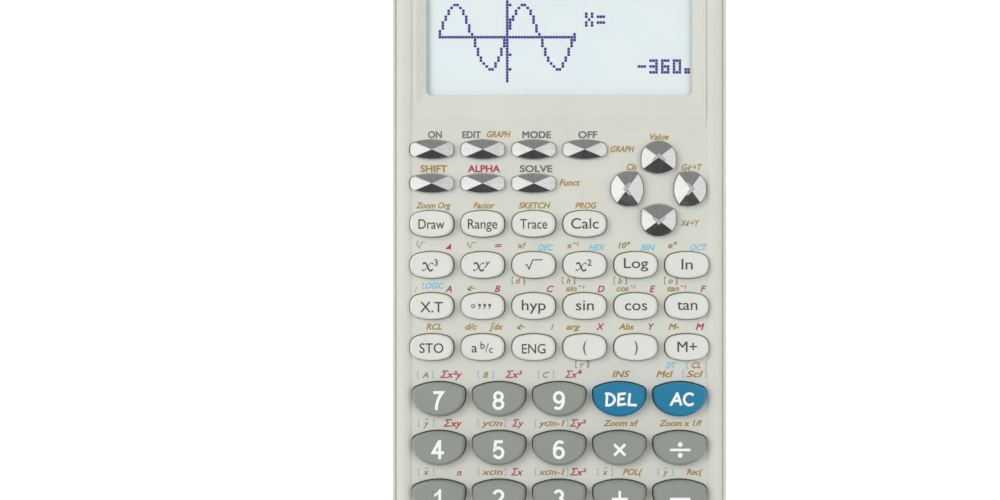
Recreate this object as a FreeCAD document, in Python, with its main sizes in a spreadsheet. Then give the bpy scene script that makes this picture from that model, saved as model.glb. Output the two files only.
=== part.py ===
import FreeCAD, Part

import math
import os

import Sketcher

# A pocket graphing calculator, in millimetres. It lies on its back: +X runs across the case to
# the right of a reader, +Y towards the display end and +Z out of the key face. The origin is in
# the middle of the rear face, on the surface that the case rests on.

doc = FreeCAD.newDocument("graphing_calculator")
sheet = doc.addObject("Spreadsheet::Sheet", "dims")

DIMENSIONS = {
    # how far a cut runs past the face it opens, and how deep a joined feature runs into its neighbour
    "overrun": 1.0,
    "merge": 0.1,
    # case
    "case_width": 84.0,
    "case_length": 177.0,
    "case_corner": 9.0,
    "rear_height": 12.7,
    "panel_top": 13.6,
    "panel_underside": 12.2,
    "rear_chamfer_inset": 3.0,
    "rear_chamfer_height": 3.7,
    "parting_chamfer": 0.18,
    "parting_gap": 0.04,
    "front_edge_round": 0.4,
    # raised border that runs round the front
    "groove_inset": 0.75,
    "groove_width": 0.3,
    "groove_depth": 0.35,
    "border_inset": 1.1,
    "border_half_width": 1.95,
    "border_rise": 0.6,
    # raised ground around the display, with its ramp down to the keys
    "plateau_rise": 0.3,
    "plateau_half_width": 36.95,
    "ramp_foot": 26.2,
    "ramp_head": 29.2,
    "plateau_end": 83.4,
    # display
    "window_width": 67.0,
    "window_length": 35.7,
    "window_centre": 52.8,
    "window_corner": 1.3,
    "bezel_side": 2.4,
    "bezel_end": 3.4,
    "bezel_depth": 1.2,
    "bezel_corner": 1.6,
    "lens_overlap": 1.0,
    "lens_thickness": 1.0,
    "lens_gap": 0.1,
    "lens_frame_wall": 1.2,
    "glass_thickness": 1.4,
    "glass_overlap": 1.4,
    "glass_corner": 0.3,
    "glass_holder_thickness": 0.8,
    "glass_holder_overlap": 2.0,
    "glass_holder_corner": 0.6,
    "ribbon_width": 52.0,
    "ribbon_thickness": 1.2,
    "ribbon_corner": 0.2,
    "ribbon_gap": 0.9,
    # inside of the case
    "wall": 1.8,
    "floor": 1.5,
    "lower_wall": 4.6,
    "lower_cavity_top": 5.0,
    "spigot_gap": 0.12,
    "spigot_wall": 1.2,
    "spigot_depth": 2.0,
    "scoop_rise": 1.45,
    "scoop_length": 51.0,
    "scoop_centre": -3.3,
    "scoop_floor": 3.0,
    "scoop_margin": 2.0,
    "rib_corner": 0.4,
    "notch_centre": -35.8,
    "notch_length": 3.7,
    "notch_height": 1.5,
    "notch_depth": 1.3,
    "notch_corner": 0.73,
    # board and key mat
    "board_width": 78.4,
    "board_length": 171.6,
    "board_corner": 6.2,
    "board_bottom": 7.6,
    "board_thickness": 1.2,
    "board_rest_radius": 1.4,
    "rest_gap": 0.05,
    "mat_width": 76.4,
    "mat_length": 110.6,
    "mat_centre": -29.0,
    "mat_thickness": 0.6,
    "mat_corner": 3.0,
    "dome_radius": 2.3,
    "dome_top": 10.85,
    "dome_taper": 18.0,
    # screws and the pillars they join
    "screw_x_top": 36.3,
    "screw_y_top": 79.5,
    "screw_x_middle": 36.3,
    "screw_y_middle": 28.5,
    "screw_x_low": 34.0,
    "screw_y_low": -34.4,
    "screw_shank": 0.95,
    "screw_head": 1.9,
    "screw_head_height": 1.3,
    "screw_seat": 2.3,
    "screw_tip": 11.0,
    "screw_tip_room": 0.4,
    "screw_hole": 1.02,
    "screw_clearance": 1.12,
    "screw_pan_radius": 0.5,
    "screw_cross_length": 2.2,
    "screw_cross_width": 0.5,
    "screw_cross_depth": 0.7,
    "screw_cross_corner": 0.05,
    "head_recess": 2.15,
    "rear_post": 3.1,
    "front_post": 1.85,
    "post_meeting": 6.0,
    "post_hole_in_board": 2.15,
    # coin cells and their cover
    "cell_radius": 10.0,
    "cell_height": 3.2,
    "cell_pitch": 21.0,
    "cell_row": 59.5,
    "cell_bottom": 1.55,
    "cell_gap": 0.15,
    "cell_headroom": 0.1,
    "cell_step_height": 0.3,
    "cell_step_width": 1.1,
    "cell_roof": 5.9,
    "bay_margin": 2.0,
    "bay_floor_thickness": 1.5,
    "contact_width": 3.0,
    "contact_reach": 3.0,
    "contact_riser": 0.25,
    "contact_leaf": 0.2,
    "contact_rest_gap": 0.03,
    "contact_slot_width": 4.0,
    "contact_slot_length": 7.4,
    "contact_slot_corner": 0.5,
    "cover_width": 65.0,
    "cover_start": 46.0,
    "cover_outer": 0.06,
    "cover_inner": 1.3,
    "cover_gap": 0.15,
    "cover_hook": 85.75,
    "cover_hook_top": 3.5,
    "cover_end_gap": 0.05,
    "cover_lip": 0.02,
    "tongue_width": 0.7,
    "tongue_bottom": 0.55,
    "tongue_top": 1.05,
    "tongue_length": 26.0,
    "tongue_start": 2.0,
    "grip_width": 18.0,
    "grip_length": 0.9,
    "grip_corner": 0.43,
    "grip_pitch": 2.0,
    "grip_depth": 0.35,
    "grip_start": 50.0,
    # keys
    "key_gap": 0.28,
    "flange_grow": 0.5,
    "flange_top": 12.15,
    "flange_thickness": 0.8,
    "stem_radius": 1.5,
    "stem_bottom": 10.9,
    "left_column": -32.0,
    "column_pitch": 12.8,
    "row_pitch": 10.32,
    "lowest_white_row": -28.4,
    "metal_row_high": 21.2,
    "metal_row_low": 12.7,
    "digit_left_column": -30.2,
    "digit_column_pitch": 15.1,
    "digit_high_row": -41.4,
    "digit_row_pitch": 12.27,
    "pad_x": 24.9,
    "pad_y": 11.3,
    "petal_radius": 7.9,
    # outline of a white key
    "white_half_width": 5.4,
    "white_half_length": 3.27,
    "white_top_radius": 13.0,
    "white_bottom_radius": 13.0,
    "white_side_radius": 5.0,
    "white_side_y": 0.0,
    "white_top_corner": 2.5,
    "white_bottom_corner": 2.5,
    "white_top": 16.0,
    "white_bevel_inset": 0.45,
    "white_bevel_drop": 0.4,
    "white_dish_radius": 44.0,
    "white_dish_depth": 0.22,
    # outline of a number key
    "digit_half_width": 6.6,
    "digit_half_length": 4.22,
    "digit_top_radius": 14.2,
    "digit_bottom_radius": 7.9,
    "digit_side_radius": 9.0,
    "digit_side_y": 1.3,
    "digit_top_corner": 1.25,
    "digit_bottom_corner": 4.4,
    "digit_top": 16.7,
    "digit_bevel_inset": 0.6,
    "digit_bevel_drop": 0.45,
    # outline of a metal key
    "metal_half_width": 5.4,
    "metal_half_length": 2.32,
    "metal_top_radius": 14.8,
    "metal_bottom_radius": 14.8,
    "metal_side_radius": 9.0,
    "metal_side_y": 0.0,
    "metal_top_corner": 1.15,
    "metal_bottom_corner": 1.15,
    "metal_top": 15.5,
    "metal_side_slope": 0.105,
    "metal_end_slope": 0.25,
    # outline of a cursor key, drawn with its round side away from the pad's centre
    "petal_half_width": 4.3,
    "petal_half_length": 4.0,
    "petal_top_radius": 4.6,
    "petal_bottom_radius": 6.3,
    "petal_side_radius": 18.0,
    "petal_side_y": -0.3,
    "petal_top_corner": 3.9,
    "petal_bottom_corner": 0.45,
    "petal_top": 16.2,
    "petal_side_slope": 0.17,
    "petal_end_slope": 0.23,
    "chevron_reach": 1.6,
    "chevron_thickness": 0.75,
    "chevron_tip": 1.1,
    "chevron_depth": 0.95,
}

for row, (alias, value) in enumerate(DIMENSIONS.items(), start=1):
    sheet.set(f"A{row}", alias)
    sheet.set(f"B{row}", str(value))
    sheet.setAlias(f"B{row}", alias)
doc.recompute()


def size(expression):
    """The present value of an expression over the sheet, for placing a sketch's first geometry."""
    return float(sheet.evalExpression(expression))


# --- helpers: sketches ------------------------------------------------------------------------

def new_sketch(body, name, plane="XY_Plane", x=None, y=None, z=None):
    """An empty sketch on one of the body's origin planes, moved by expressions."""
    sketch = body.newObject("Sketcher::SketchObject", name)
    support = next(item for item in body.Origin.OriginFeatures if item.Role == plane)
    sketch.AttachmentSupport = [(support, "")]
    sketch.MapMode = "FlatFace"
    for axis, expression in (("x", x), ("y", y), ("z", z)):
        if expression is not None:
            sketch.setExpression(f"AttachmentOffset.Base.{axis}", expression)
    return sketch


def constrain(sketch, name, expression, kind, *places):
    """One named constraint whose value follows an expression."""
    index = sketch.addConstraint(Sketcher.Constraint(kind, *places, size(expression)))
    sketch.renameConstraint(index, name)
    sketch.setExpression(f"Constraints.{name}", expression)


def polygon(sketch, points):
    """A closed polygon; each point is a pair of expressions measured from the sketch's origin."""
    corners = [FreeCAD.Vector(size(across), size(along), 0) for across, along in points]
    first = sketch.GeometryCount
    count = len(points)
    for index in range(count):
        sketch.addGeometry(Part.LineSegment(corners[index], corners[(index + 1) % count]))
    for index in range(count):
        following = first + (index + 1) % count
        sketch.addConstraint(Sketcher.Constraint("Coincident", first + index, 2, following, 1))
    for index, (across, along) in enumerate(points):
        place = (-1, 1, first + index, 1)
        constrain(sketch, f"across_{first}_{index}", across, "DistanceX", *place)
        constrain(sketch, f"along_{first}_{index}", along, "DistanceY", *place)


def circle(sketch, x, y, radius):
    """A circle whose centre and radius are expressions."""
    centre = FreeCAD.Vector(size(x), size(y), 0)
    index = sketch.addGeometry(Part.Circle(centre, FreeCAD.Vector(0, 0, 1), size(radius)))
    constrain(sketch, f"radius_{index}", radius, "Radius", index)
    constrain(sketch, f"centre_x_{index}", x, "DistanceX", -1, 1, index, 3)
    constrain(sketch, f"centre_y_{index}", y, "DistanceY", -1, 1, index, 3)


def arc(sketch, centre, radius, start, end):
    """An arc drawn anticlockwise from one point to another."""
    start_angle = math.atan2(start.y - centre.y, start.x - centre.x)
    end_angle = math.atan2(end.y - centre.y, end.x - centre.x)
    if end_angle <= start_angle:
        end_angle += 2 * math.pi
    whole = Part.Circle(centre, FreeCAD.Vector(0, 0, 1), radius)
    return sketch.addGeometry(Part.ArcOfCircle(whole, start_angle, end_angle))


def rounded_rectangle(sketch, width, length, corner):
    """A rectangle with equal round corners, centred on the sketch's origin."""
    half_x = size(width) / 2
    half_y = size(length) / 2
    radius = size(corner)
    inner_x = half_x - radius
    inner_y = half_y - radius
    point = FreeCAD.Vector
    right = sketch.addGeometry(Part.LineSegment(point(half_x, -inner_y, 0), point(half_x, inner_y, 0)))
    top_right = arc(sketch, point(inner_x, inner_y, 0), radius,
                    point(half_x, inner_y, 0), point(inner_x, half_y, 0))
    top = sketch.addGeometry(Part.LineSegment(point(inner_x, half_y, 0), point(-inner_x, half_y, 0)))
    top_left = arc(sketch, point(-inner_x, inner_y, 0), radius,
                   point(-inner_x, half_y, 0), point(-half_x, inner_y, 0))
    left = sketch.addGeometry(Part.LineSegment(point(-half_x, inner_y, 0), point(-half_x, -inner_y, 0)))
    bottom_left = arc(sketch, point(-inner_x, -inner_y, 0), radius,
                      point(-half_x, -inner_y, 0), point(-inner_x, -half_y, 0))
    bottom = sketch.addGeometry(Part.LineSegment(point(-inner_x, -half_y, 0), point(inner_x, -half_y, 0)))
    bottom_right = arc(sketch, point(inner_x, -inner_y, 0), radius,
                       point(inner_x, -half_y, 0), point(half_x, -inner_y, 0))
    ring = [right, top_right, top, top_left, left, bottom_left, bottom, bottom_right]
    for index, item in enumerate(ring):
        sketch.addConstraint(Sketcher.Constraint("Tangent", item, 2, ring[(index + 1) % 8], 1))
    for item in (right, left):
        sketch.addConstraint(Sketcher.Constraint("Vertical", item))
    for item in (top, bottom):
        sketch.addConstraint(Sketcher.Constraint("Horizontal", item))
    for item in (top_left, bottom_left, bottom_right):
        sketch.addConstraint(Sketcher.Constraint("Equal", top_right, item))
    sketch.addConstraint(Sketcher.Constraint("Symmetric", top_right, 3, bottom_left, 3, -1, 1))
    name = f"ring_{right}"
    constrain(sketch, f"{name}_corner", corner, "Radius", top_right)
    constrain(sketch, f"{name}_inner_x", f"({width}) / 2 - ({corner})", "DistanceX", -1, 1, top_right, 3)
    constrain(sketch, f"{name}_inner_y", f"({length}) / 2 - ({corner})", "DistanceY", -1, 1, top_right, 3)


def touching_centre(first, first_radius, second, second_radius, radius, towards):
    """The centre of a corner arc that touches two larger arcs from inside."""
    near = first_radius - radius
    far = second_radius - radius
    gap = second - first
    distance = gap.Length
    along = (near**2 - far**2 + distance**2) / (2 * distance)
    across = math.sqrt(near**2 - along**2)
    unit = gap / distance
    side = FreeCAD.Vector(-unit.y, unit.x, 0)
    choices = [first + unit * along + side * across, first + unit * along - side * across]
    return max(choices, key=lambda choice: choice.dot(towards))


def key_outline(sketch, family, grow="0"):
    """A convex outline of four bulging sides and four round corners, the same left and right.

    The grown outline keeps every arc's centre, so it runs at one distance from the key's own.
    """
    point = FreeCAD.Vector
    value = {part: size(f"dims.{family}_{part}") for part in (
        "half_width", "half_length", "top_radius", "bottom_radius", "side_radius", "side_y",
        "top_corner", "bottom_corner")}
    top_centre = point(0, value["half_length"] - value["top_radius"], 0)
    bottom_centre = point(0, value["bottom_radius"] - value["half_length"], 0)
    right_centre = point(value["half_width"] - value["side_radius"], value["side_y"], 0)
    left_centre = point(-right_centre.x, right_centre.y, 0)
    extra = size(grow)
    sides = {
        "right": (right_centre, value["side_radius"]),
        "top": (top_centre, value["top_radius"]),
        "left": (left_centre, value["side_radius"]),
        "bottom": (bottom_centre, value["bottom_radius"]),
    }
    corners = [
        ("right", "top", value["top_corner"], point(1, 1, 0)),
        ("top", "left", value["top_corner"], point(-1, 1, 0)),
        ("left", "bottom", value["bottom_corner"], point(-1, -1, 0)),
        ("bottom", "right", value["bottom_corner"], point(1, -1, 0)),
    ]

    def contact(centre, radius, other):
        direction = other - centre
        return centre + direction / direction.Length * (radius + extra)

    corner_arcs = []
    starts = {}
    ends = {}
    for before, after, radius, towards in corners:
        first, first_radius = sides[before]
        second, second_radius = sides[after]
        centre = touching_centre(first, first_radius, second, second_radius, radius, towards)
        leave = contact(first, first_radius, centre)
        arrive = contact(second, second_radius, centre)
        ends[before] = leave
        starts[after] = arrive
        corner_arcs.append((centre, radius, leave, arrive))
    ring = []
    for (before, _, _, _), (centre, radius, leave, arrive) in zip(corners, corner_arcs):
        side_centre, side_radius = sides[before]
        ring.append(arc(sketch, side_centre, side_radius + extra, starts[before], ends[before]))
        ring.append(arc(sketch, centre, radius + extra, leave, arrive))
    right, top_right, top, top_left, left, bottom_left, bottom, bottom_right = ring
    for index, item in enumerate(ring):
        sketch.addConstraint(Sketcher.Constraint("Tangent", item, 2, ring[(index + 1) % 8], 1))
    for item in (top, bottom):
        sketch.addConstraint(Sketcher.Constraint("PointOnObject", item, 3, -2))
    sketch.addConstraint(Sketcher.Constraint("Symmetric", left, 3, right, 3, -2))
    for one, other in ((left, right), (top_left, top_right), (bottom_left, bottom_right)):
        sketch.addConstraint(Sketcher.Constraint("Equal", one, other))
    name = f"key_{right}"
    dims = f"dims.{family}"
    constrain(sketch, f"{name}_top", f"{dims}_top_radius + {grow}", "Radius", top)
    constrain(sketch, f"{name}_bottom", f"{dims}_bottom_radius + {grow}", "Radius", bottom)
    constrain(sketch, f"{name}_side", f"{dims}_side_radius + {grow}", "Radius", right)
    constrain(sketch, f"{name}_top_corner", f"{dims}_top_corner + {grow}", "Radius", top_right)
    constrain(sketch, f"{name}_bottom_corner", f"{dims}_bottom_corner + {grow}", "Radius", bottom_right)
    constrain(sketch, f"{name}_top_y", f"{dims}_half_length - {dims}_top_radius",
              "DistanceY", -1, 1, top, 3)
    constrain(sketch, f"{name}_bottom_y", f"{dims}_bottom_radius - {dims}_half_length",
              "DistanceY", -1, 1, bottom, 3)
    constrain(sketch, f"{name}_side_x", f"{dims}_half_width - {dims}_side_radius",
              "DistanceX", -1, 1, right, 3)
    constrain(sketch, f"{name}_side_y", f"{dims}_side_y", "DistanceY", -1, 1, right, 3)


# --- helpers: features ------------------------------------------------------------------------

def new_body(label):
    body = doc.addObject("PartDesign::Body", label)
    body.Label = label
    return body


def pad(body, name, sketch, length, down=False, both_ways=False):
    feature = body.newObject("PartDesign::Pad", name)
    feature.Profile = sketch
    feature.Reversed = down
    feature.Midplane = both_ways
    feature.setExpression("Length", length)
    return feature


def pocket(body, name, sketch, length, up=False, both_ways=False):
    feature = body.newObject("PartDesign::Pocket", name)
    feature.Profile = sketch
    feature.Reversed = up
    feature.Midplane = both_ways
    feature.setExpression("Length", length)
    return feature


def grid(body, name, feature, sketch, columns, pitch, rows=1, row_pitch=None):
    """Copies of a feature in columns towards +X and, if asked, in rows towards -Y."""
    pattern = body.newObject("PartDesign::LinearPattern", name)
    pattern.Originals = [feature]
    pattern.Direction = (sketch, ["H_Axis"])
    pattern.Mode = "Extent"
    pattern.setExpression("Length", f"{columns - 1} * {pitch}")
    pattern.Occurrences = columns
    if rows > 1:
        pattern.Direction2 = (sketch, ["V_Axis"])
        pattern.Reversed2 = True
        pattern.Mode2 = "Extent"
        pattern.setExpression("Length2", f"{rows - 1} * {row_pitch}")
        pattern.Occurrences2 = rows
    body.Tip = pattern
    return pattern


def loft(body, name, kind, sections):
    feature = body.newObject(f"PartDesign::{kind}", name)
    feature.Profile = sections[0]
    feature.Sections = sections[1:]
    return feature


def level_edges(feature, height, keep=lambda edge: True):
    """Names of the edges that lie flat at one height."""
    doc.recompute()
    names = []
    for index, edge in enumerate(feature.Shape.Edges, start=1):
        box = edge.BoundBox
        if abs(box.ZMin - height) < 1e-3 and abs(box.ZMax - height) < 1e-3 and keep(edge):
            names.append(f"Edge{index}")
    return names


def chamfer(body, name, feature, edges, inset, drop=None, flip=False):
    result = body.newObject("PartDesign::Chamfer", name)
    result.Base = (feature, edges)
    result.setExpression("Size", inset)
    if drop is not None:
        result.ChamferType = "Two distances"
        result.setExpression("Size2", drop)
        result.FlipDirection = flip
    return result


def fillet(body, name, feature, edges, radius):
    result = body.newObject("PartDesign::Fillet", name)
    result.Base = (feature, edges)
    result.setExpression("Radius", radius)
    return result


def compound(label, members):
    """Several solids kept in one sub-part."""
    result = doc.addObject("Part::Compound", label)
    result.Label = label
    result.Links = members
    return result


SCREW_PLACES = [(f"{side} * dims.screw_x_{name}", f"dims.screw_y_{name}")
                for name in ("top", "middle", "low") for side in (-1, 1)]


# --- key families -----------------------------------------------------------------------------

def key_base(body, family):
    """The flange that stops a key under the panel, the stem below it and the cap's full height."""
    flange = new_sketch(body, "flange_outline", z="dims.flange_top - dims.flange_thickness")
    key_outline(flange, family, "dims.flange_grow")
    pad(body, "flange", flange, "dims.flange_thickness")
    stem = new_sketch(body, "stem_circle", z="dims.stem_bottom")
    circle(stem, "0", "0", "dims.stem_radius")
    pad(body, "stem", stem, "dims.flange_top - dims.stem_bottom")
    cap = new_sketch(body, "cap_outline", z="dims.flange_top - dims.flange_thickness")
    key_outline(cap, family)
    height = f"dims.{family}_top - dims.flange_top + dims.flange_thickness"
    return pad(body, "cap", cap, height)


def white_key(body):
    """A pale key with a bevelled rim and a shallow dish across it."""
    cap = key_base(body, "white")
    rim = level_edges(cap, size("dims.white_top"))
    chamfer(body, "bevel", cap, rim, "dims.white_bevel_inset")
    dish = new_sketch(body, "dish_circle", plane="XZ_Plane")
    centre = "dims.white_top - dims.white_dish_depth + dims.white_dish_radius"
    circle(dish, "0", centre, "dims.white_dish_radius")
    pocket(body, "dish", dish, "4 * dims.white_half_length", both_ways=True)


def digit_key(body):
    """A number key: half-moon outline, a flat top and a bevelled rim."""
    cap = key_base(body, "digit")
    rim = level_edges(cap, size("dims.digit_top"))
    chamfer(body, "bevel", cap, rim, "dims.digit_bevel_inset")


def facets(body, family):
    """Four flat facets that meet in one point above the key's centre."""
    for plane, slope, reach, across in (
            ("XZ_Plane", "side_slope", "half_width", "half_length"),
            ("YZ_Plane", "end_slope", "half_length", "half_width")):
        profile = new_sketch(body, f"facet_profile_{slope}", plane=plane)
        peak = f"dims.{family}_top"
        outside = f"1.5 * dims.{family}_{reach}"
        edge = f"{peak} - {outside} * dims.{family}_{slope}"
        above = f"{peak} + dims.overrun"
        polygon(profile, [
            ("0", peak),
            (outside, edge),
            (outside, above),
            (f"-1 * {outside}", above),
            (f"-1 * {outside}", edge),
        ])
        pocket(body, f"facets_{slope}", profile, f"4 * dims.{family}_{across}", both_ways=True)


def metal_key(body):
    """A plated function key with a four-sided pyramid top."""
    key_base(body, "metal")
    facets(body, "metal")


def petal_key(body):
    """A plated cursor key with a four-sided top and an engraved chevron that points outwards."""
    key_base(body, "petal")
    facets(body, "petal")
    chevron = new_sketch(body, "chevron_outline", z="dims.petal_top + dims.overrun")
    reach = "dims.chevron_reach"
    tip = "dims.chevron_tip"
    drop = "(dims.chevron_tip - dims.chevron_reach)"
    thick = "dims.chevron_thickness"
    polygon(chevron, [
        ("0", tip),
        (f"-1 * {reach}", drop),
        (f"-1 * {reach}", f"{drop} - {thick}"),
        ("0", f"{tip} - {thick}"),
        (reach, f"{drop} - {thick}"),
        (reach, drop),
    ])
    pocket(body, "chevron", chevron, "dims.overrun + dims.chevron_depth")


FAMILIES = {"white": white_key, "digit": digit_key, "metal": metal_key, "petal": petal_key}


def make_key(label, family, x, y, turn=0):
    """One key in its place over the case; x and y are expressions."""
    body = new_body(label)
    FAMILIES[family](body)
    body.Placement = FreeCAD.Placement(FreeCAD.Vector(), FreeCAD.Rotation(turn, 0, 0))
    body.setExpression("Placement.Base.x", x)
    body.setExpression("Placement.Base.y", y)
    return body


def column(index):
    return f"dims.left_column + {index} * dims.column_pitch"


def digit_place(row, index):
    across = f"dims.digit_left_column + {index} * dims.digit_column_pitch"
    along = f"dims.digit_high_row - {row} * dims.digit_row_pitch"
    return across, along


METAL_KEYS = [
    ("dims.metal_row_high", ["on", "learn", "mode", "off"]),
    ("dims.metal_row_low", ["shift", "alpha", "solve"]),
]
PETAL_KEYS = [("up", 0), ("left", 90), ("down", 180), ("right", 270)]
WHITE_ROWS = [
    ["draw", "range", "trace", "calculate"],
    ["cube", "power", "root", "square", "log", "ln"],
    ["variable", "degree", "hyperbolic", "sine", "cosine", "tangent"],
    ["store", "fraction", "engineering", "open_bracket", "close_bracket", "memory_plus"],
]
DIGIT_ROWS = [
    ["digit_7", "digit_8", "digit_9", "delete", "all_clear"],
    ["digit_4", "digit_5", "digit_6", "multiply", "divide"],
    ["digit_1", "digit_2", "digit_3", "add", "subtract"],
    ["digit_0", "point"],
]
JOINED_KEYS = ["exponent", "answer", "execute"]
WHITE_COLUMNS = 6
HIGH_COLUMNS = 4
DIGIT_COLUMNS = 5
DIGIT_COUNT_ROWS = 4


def make_keys():
    """Every key; the last three of the bottom row share one sub-part."""
    nodes = []
    for along, names in METAL_KEYS:
        for index, name in enumerate(names):
            nodes.append(make_key(f"key_{name}", "metal", column(index), along))
    for name, turn in PETAL_KEYS:
        angle = math.radians(turn)
        x = f"dims.pad_x - {round(math.sin(angle))} * dims.petal_radius"
        y = f"dims.pad_y + {round(math.cos(angle))} * dims.petal_radius"
        nodes.append(make_key(f"key_{name}", "petal", x, y, turn))
    for row, names in enumerate(WHITE_ROWS):
        along = f"dims.lowest_white_row + {len(WHITE_ROWS) - 1 - row} * dims.row_pitch"
        for index, name in enumerate(names):
            nodes.append(make_key(f"key_{name}", "white", column(index), along))
    for row, names in enumerate(DIGIT_ROWS):
        for index, name in enumerate(names):
            nodes.append(make_key(f"key_{name}", "digit", *digit_place(row, index)))
    joined = []
    for offset, name in enumerate(JOINED_KEYS):
        place = digit_place(len(DIGIT_ROWS) - 1, len(DIGIT_ROWS[-1]) + offset)
        joined.append(make_key(f"key_{name}", "digit", *place))
    nodes.append(compound("keys_exponent_answer_execute", joined))
    return nodes


def key_grids():
    """The grids of keys: name, family, first place, columns, their pitch, rows and theirs."""
    first_white_row = f"dims.lowest_white_row + {len(WHITE_ROWS) - 1} * dims.row_pitch"
    second_white_row = f"dims.lowest_white_row + {len(WHITE_ROWS) - 2} * dims.row_pitch"
    digit_x, digit_y = digit_place(0, 0)
    pitch = "dims.column_pitch"
    return [
        ("metal_high", "metal", column(0), "dims.metal_row_high", HIGH_COLUMNS, pitch, 1, None),
        ("metal_low", "metal", column(0), "dims.metal_row_low", HIGH_COLUMNS - 1, pitch, 1, None),
        ("white_high", "white", column(0), first_white_row, HIGH_COLUMNS, pitch, 1, None),
        ("white_grid", "white", column(0), second_white_row, WHITE_COLUMNS, pitch,
         len(WHITE_ROWS) - 1, "dims.row_pitch"),
        ("digit_grid", "digit", digit_x, digit_y, DIGIT_COLUMNS, "dims.digit_column_pitch",
         DIGIT_COUNT_ROWS, "dims.digit_row_pitch"),
    ]


def at_every_key(body, kind, make_first):
    """One feature at every key: made once for each grid, then repeated across it.

    make_first takes a name, a key family and a place, and returns its sketch and its feature.
    """
    for grid_name, family, x, y, columns, pitch, rows, row_pitch in key_grids():
        sketch, first = make_first(f"{grid_name}_{kind}", family, x, y)
        grid(body, f"{grid_name}_{kind}s", first, sketch, columns, pitch, rows, row_pitch)
    first = make_first(f"petal_{kind}", "petal", "dims.pad_x", "dims.pad_y + dims.petal_radius")[1]
    centre = new_sketch(body, "pad_centre", x="dims.pad_x", y="dims.pad_y")
    circle(centre, "0", "0", "dims.petal_radius")
    around = body.newObject("PartDesign::PolarPattern", f"petal_{kind}s")
    around.Originals = [first]
    around.Axis = (centre, ["N_Axis"])
    around.Angle = 360
    around.Occurrences = len(PETAL_KEYS)
    body.Tip = around


def key_openings(body):
    """Holes through the panel, each a little larger than its key."""
    def hole(name, family, x, y):
        sketch = new_sketch(body, f"{name}_outline", x=x, y=y,
                            z="dims.panel_top + dims.plateau_rise + dims.overrun")
        key_outline(sketch, family, "dims.key_gap")
        depth = "dims.panel_top - dims.panel_underside + dims.plateau_rise + 2 * dims.overrun"
        return sketch, pocket(body, name, sketch, depth)

    at_every_key(body, "hole", hole)


# --- front cover ------------------------------------------------------------------------------

def inset_rectangle(sketch, inset):
    """The case's own outline moved inwards by an expression."""
    rounded_rectangle(sketch, f"dims.case_width - 2 * ({inset})", f"dims.case_length - 2 * ({inset})",
                      f"dims.case_corner - ({inset})")


def border(body):
    """The convex border: one loft up its outer half, then one that hollows its inner half."""
    radius = "((dims.border_half_width ^ 2 + dims.border_rise ^ 2) / (2 * dims.border_rise))"

    def section(name, share, side):
        offset = f"{share} * dims.border_half_width"
        inset = f"dims.border_inset + (1 - {side} * {share}) * dims.border_half_width"
        height = f"dims.panel_top + dims.border_rise - {radius} + sqrt({radius} ^ 2 - ({offset}) ^ 2)"
        sketch = new_sketch(body, name, z=height)
        inset_rectangle(sketch, inset)
        return sketch

    shares = (1, 0.8, 0.6, 0.4, 0.2, 0)
    outer = [section(f"border_outer_{index}", share, 1) for index, share in enumerate(shares)]
    loft(body, "border_rise", "AdditiveLoft", outer).Ruled = True
    inner = [section(f"border_inner_{index}", share, -1) for index, share in enumerate(shares)]
    loft(body, "border_hollow", "SubtractiveLoft", inner).Ruled = True


def window_rectangle(body, name, z, grow_side="0", grow_end="0", corner="dims.window_corner"):
    sketch = new_sketch(body, name, y="dims.window_centre", z=z)
    rounded_rectangle(sketch, f"dims.window_width + 2 * ({grow_side})",
                      f"dims.window_length + 2 * ({grow_end})", corner)
    return sketch


def front_posts(body):
    """Screw pillars under the panel."""
    posts = new_sketch(body, "post_circles", z="dims.panel_underside")
    for x, y in SCREW_PLACES:
        circle(posts, x, y, "dims.front_post")
    pad(body, "posts", posts, "dims.panel_underside - dims.post_meeting - dims.parting_gap", down=True)
    holes = new_sketch(body, "post_holes", z="dims.screw_tip + dims.screw_tip_room")
    for x, y in SCREW_PLACES:
        circle(holes, x, y, "dims.screw_hole")
    pocket(body, "post_bores", holes, "dims.screw_tip + dims.screw_tip_room - dims.post_meeting + dims.overrun")


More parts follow.
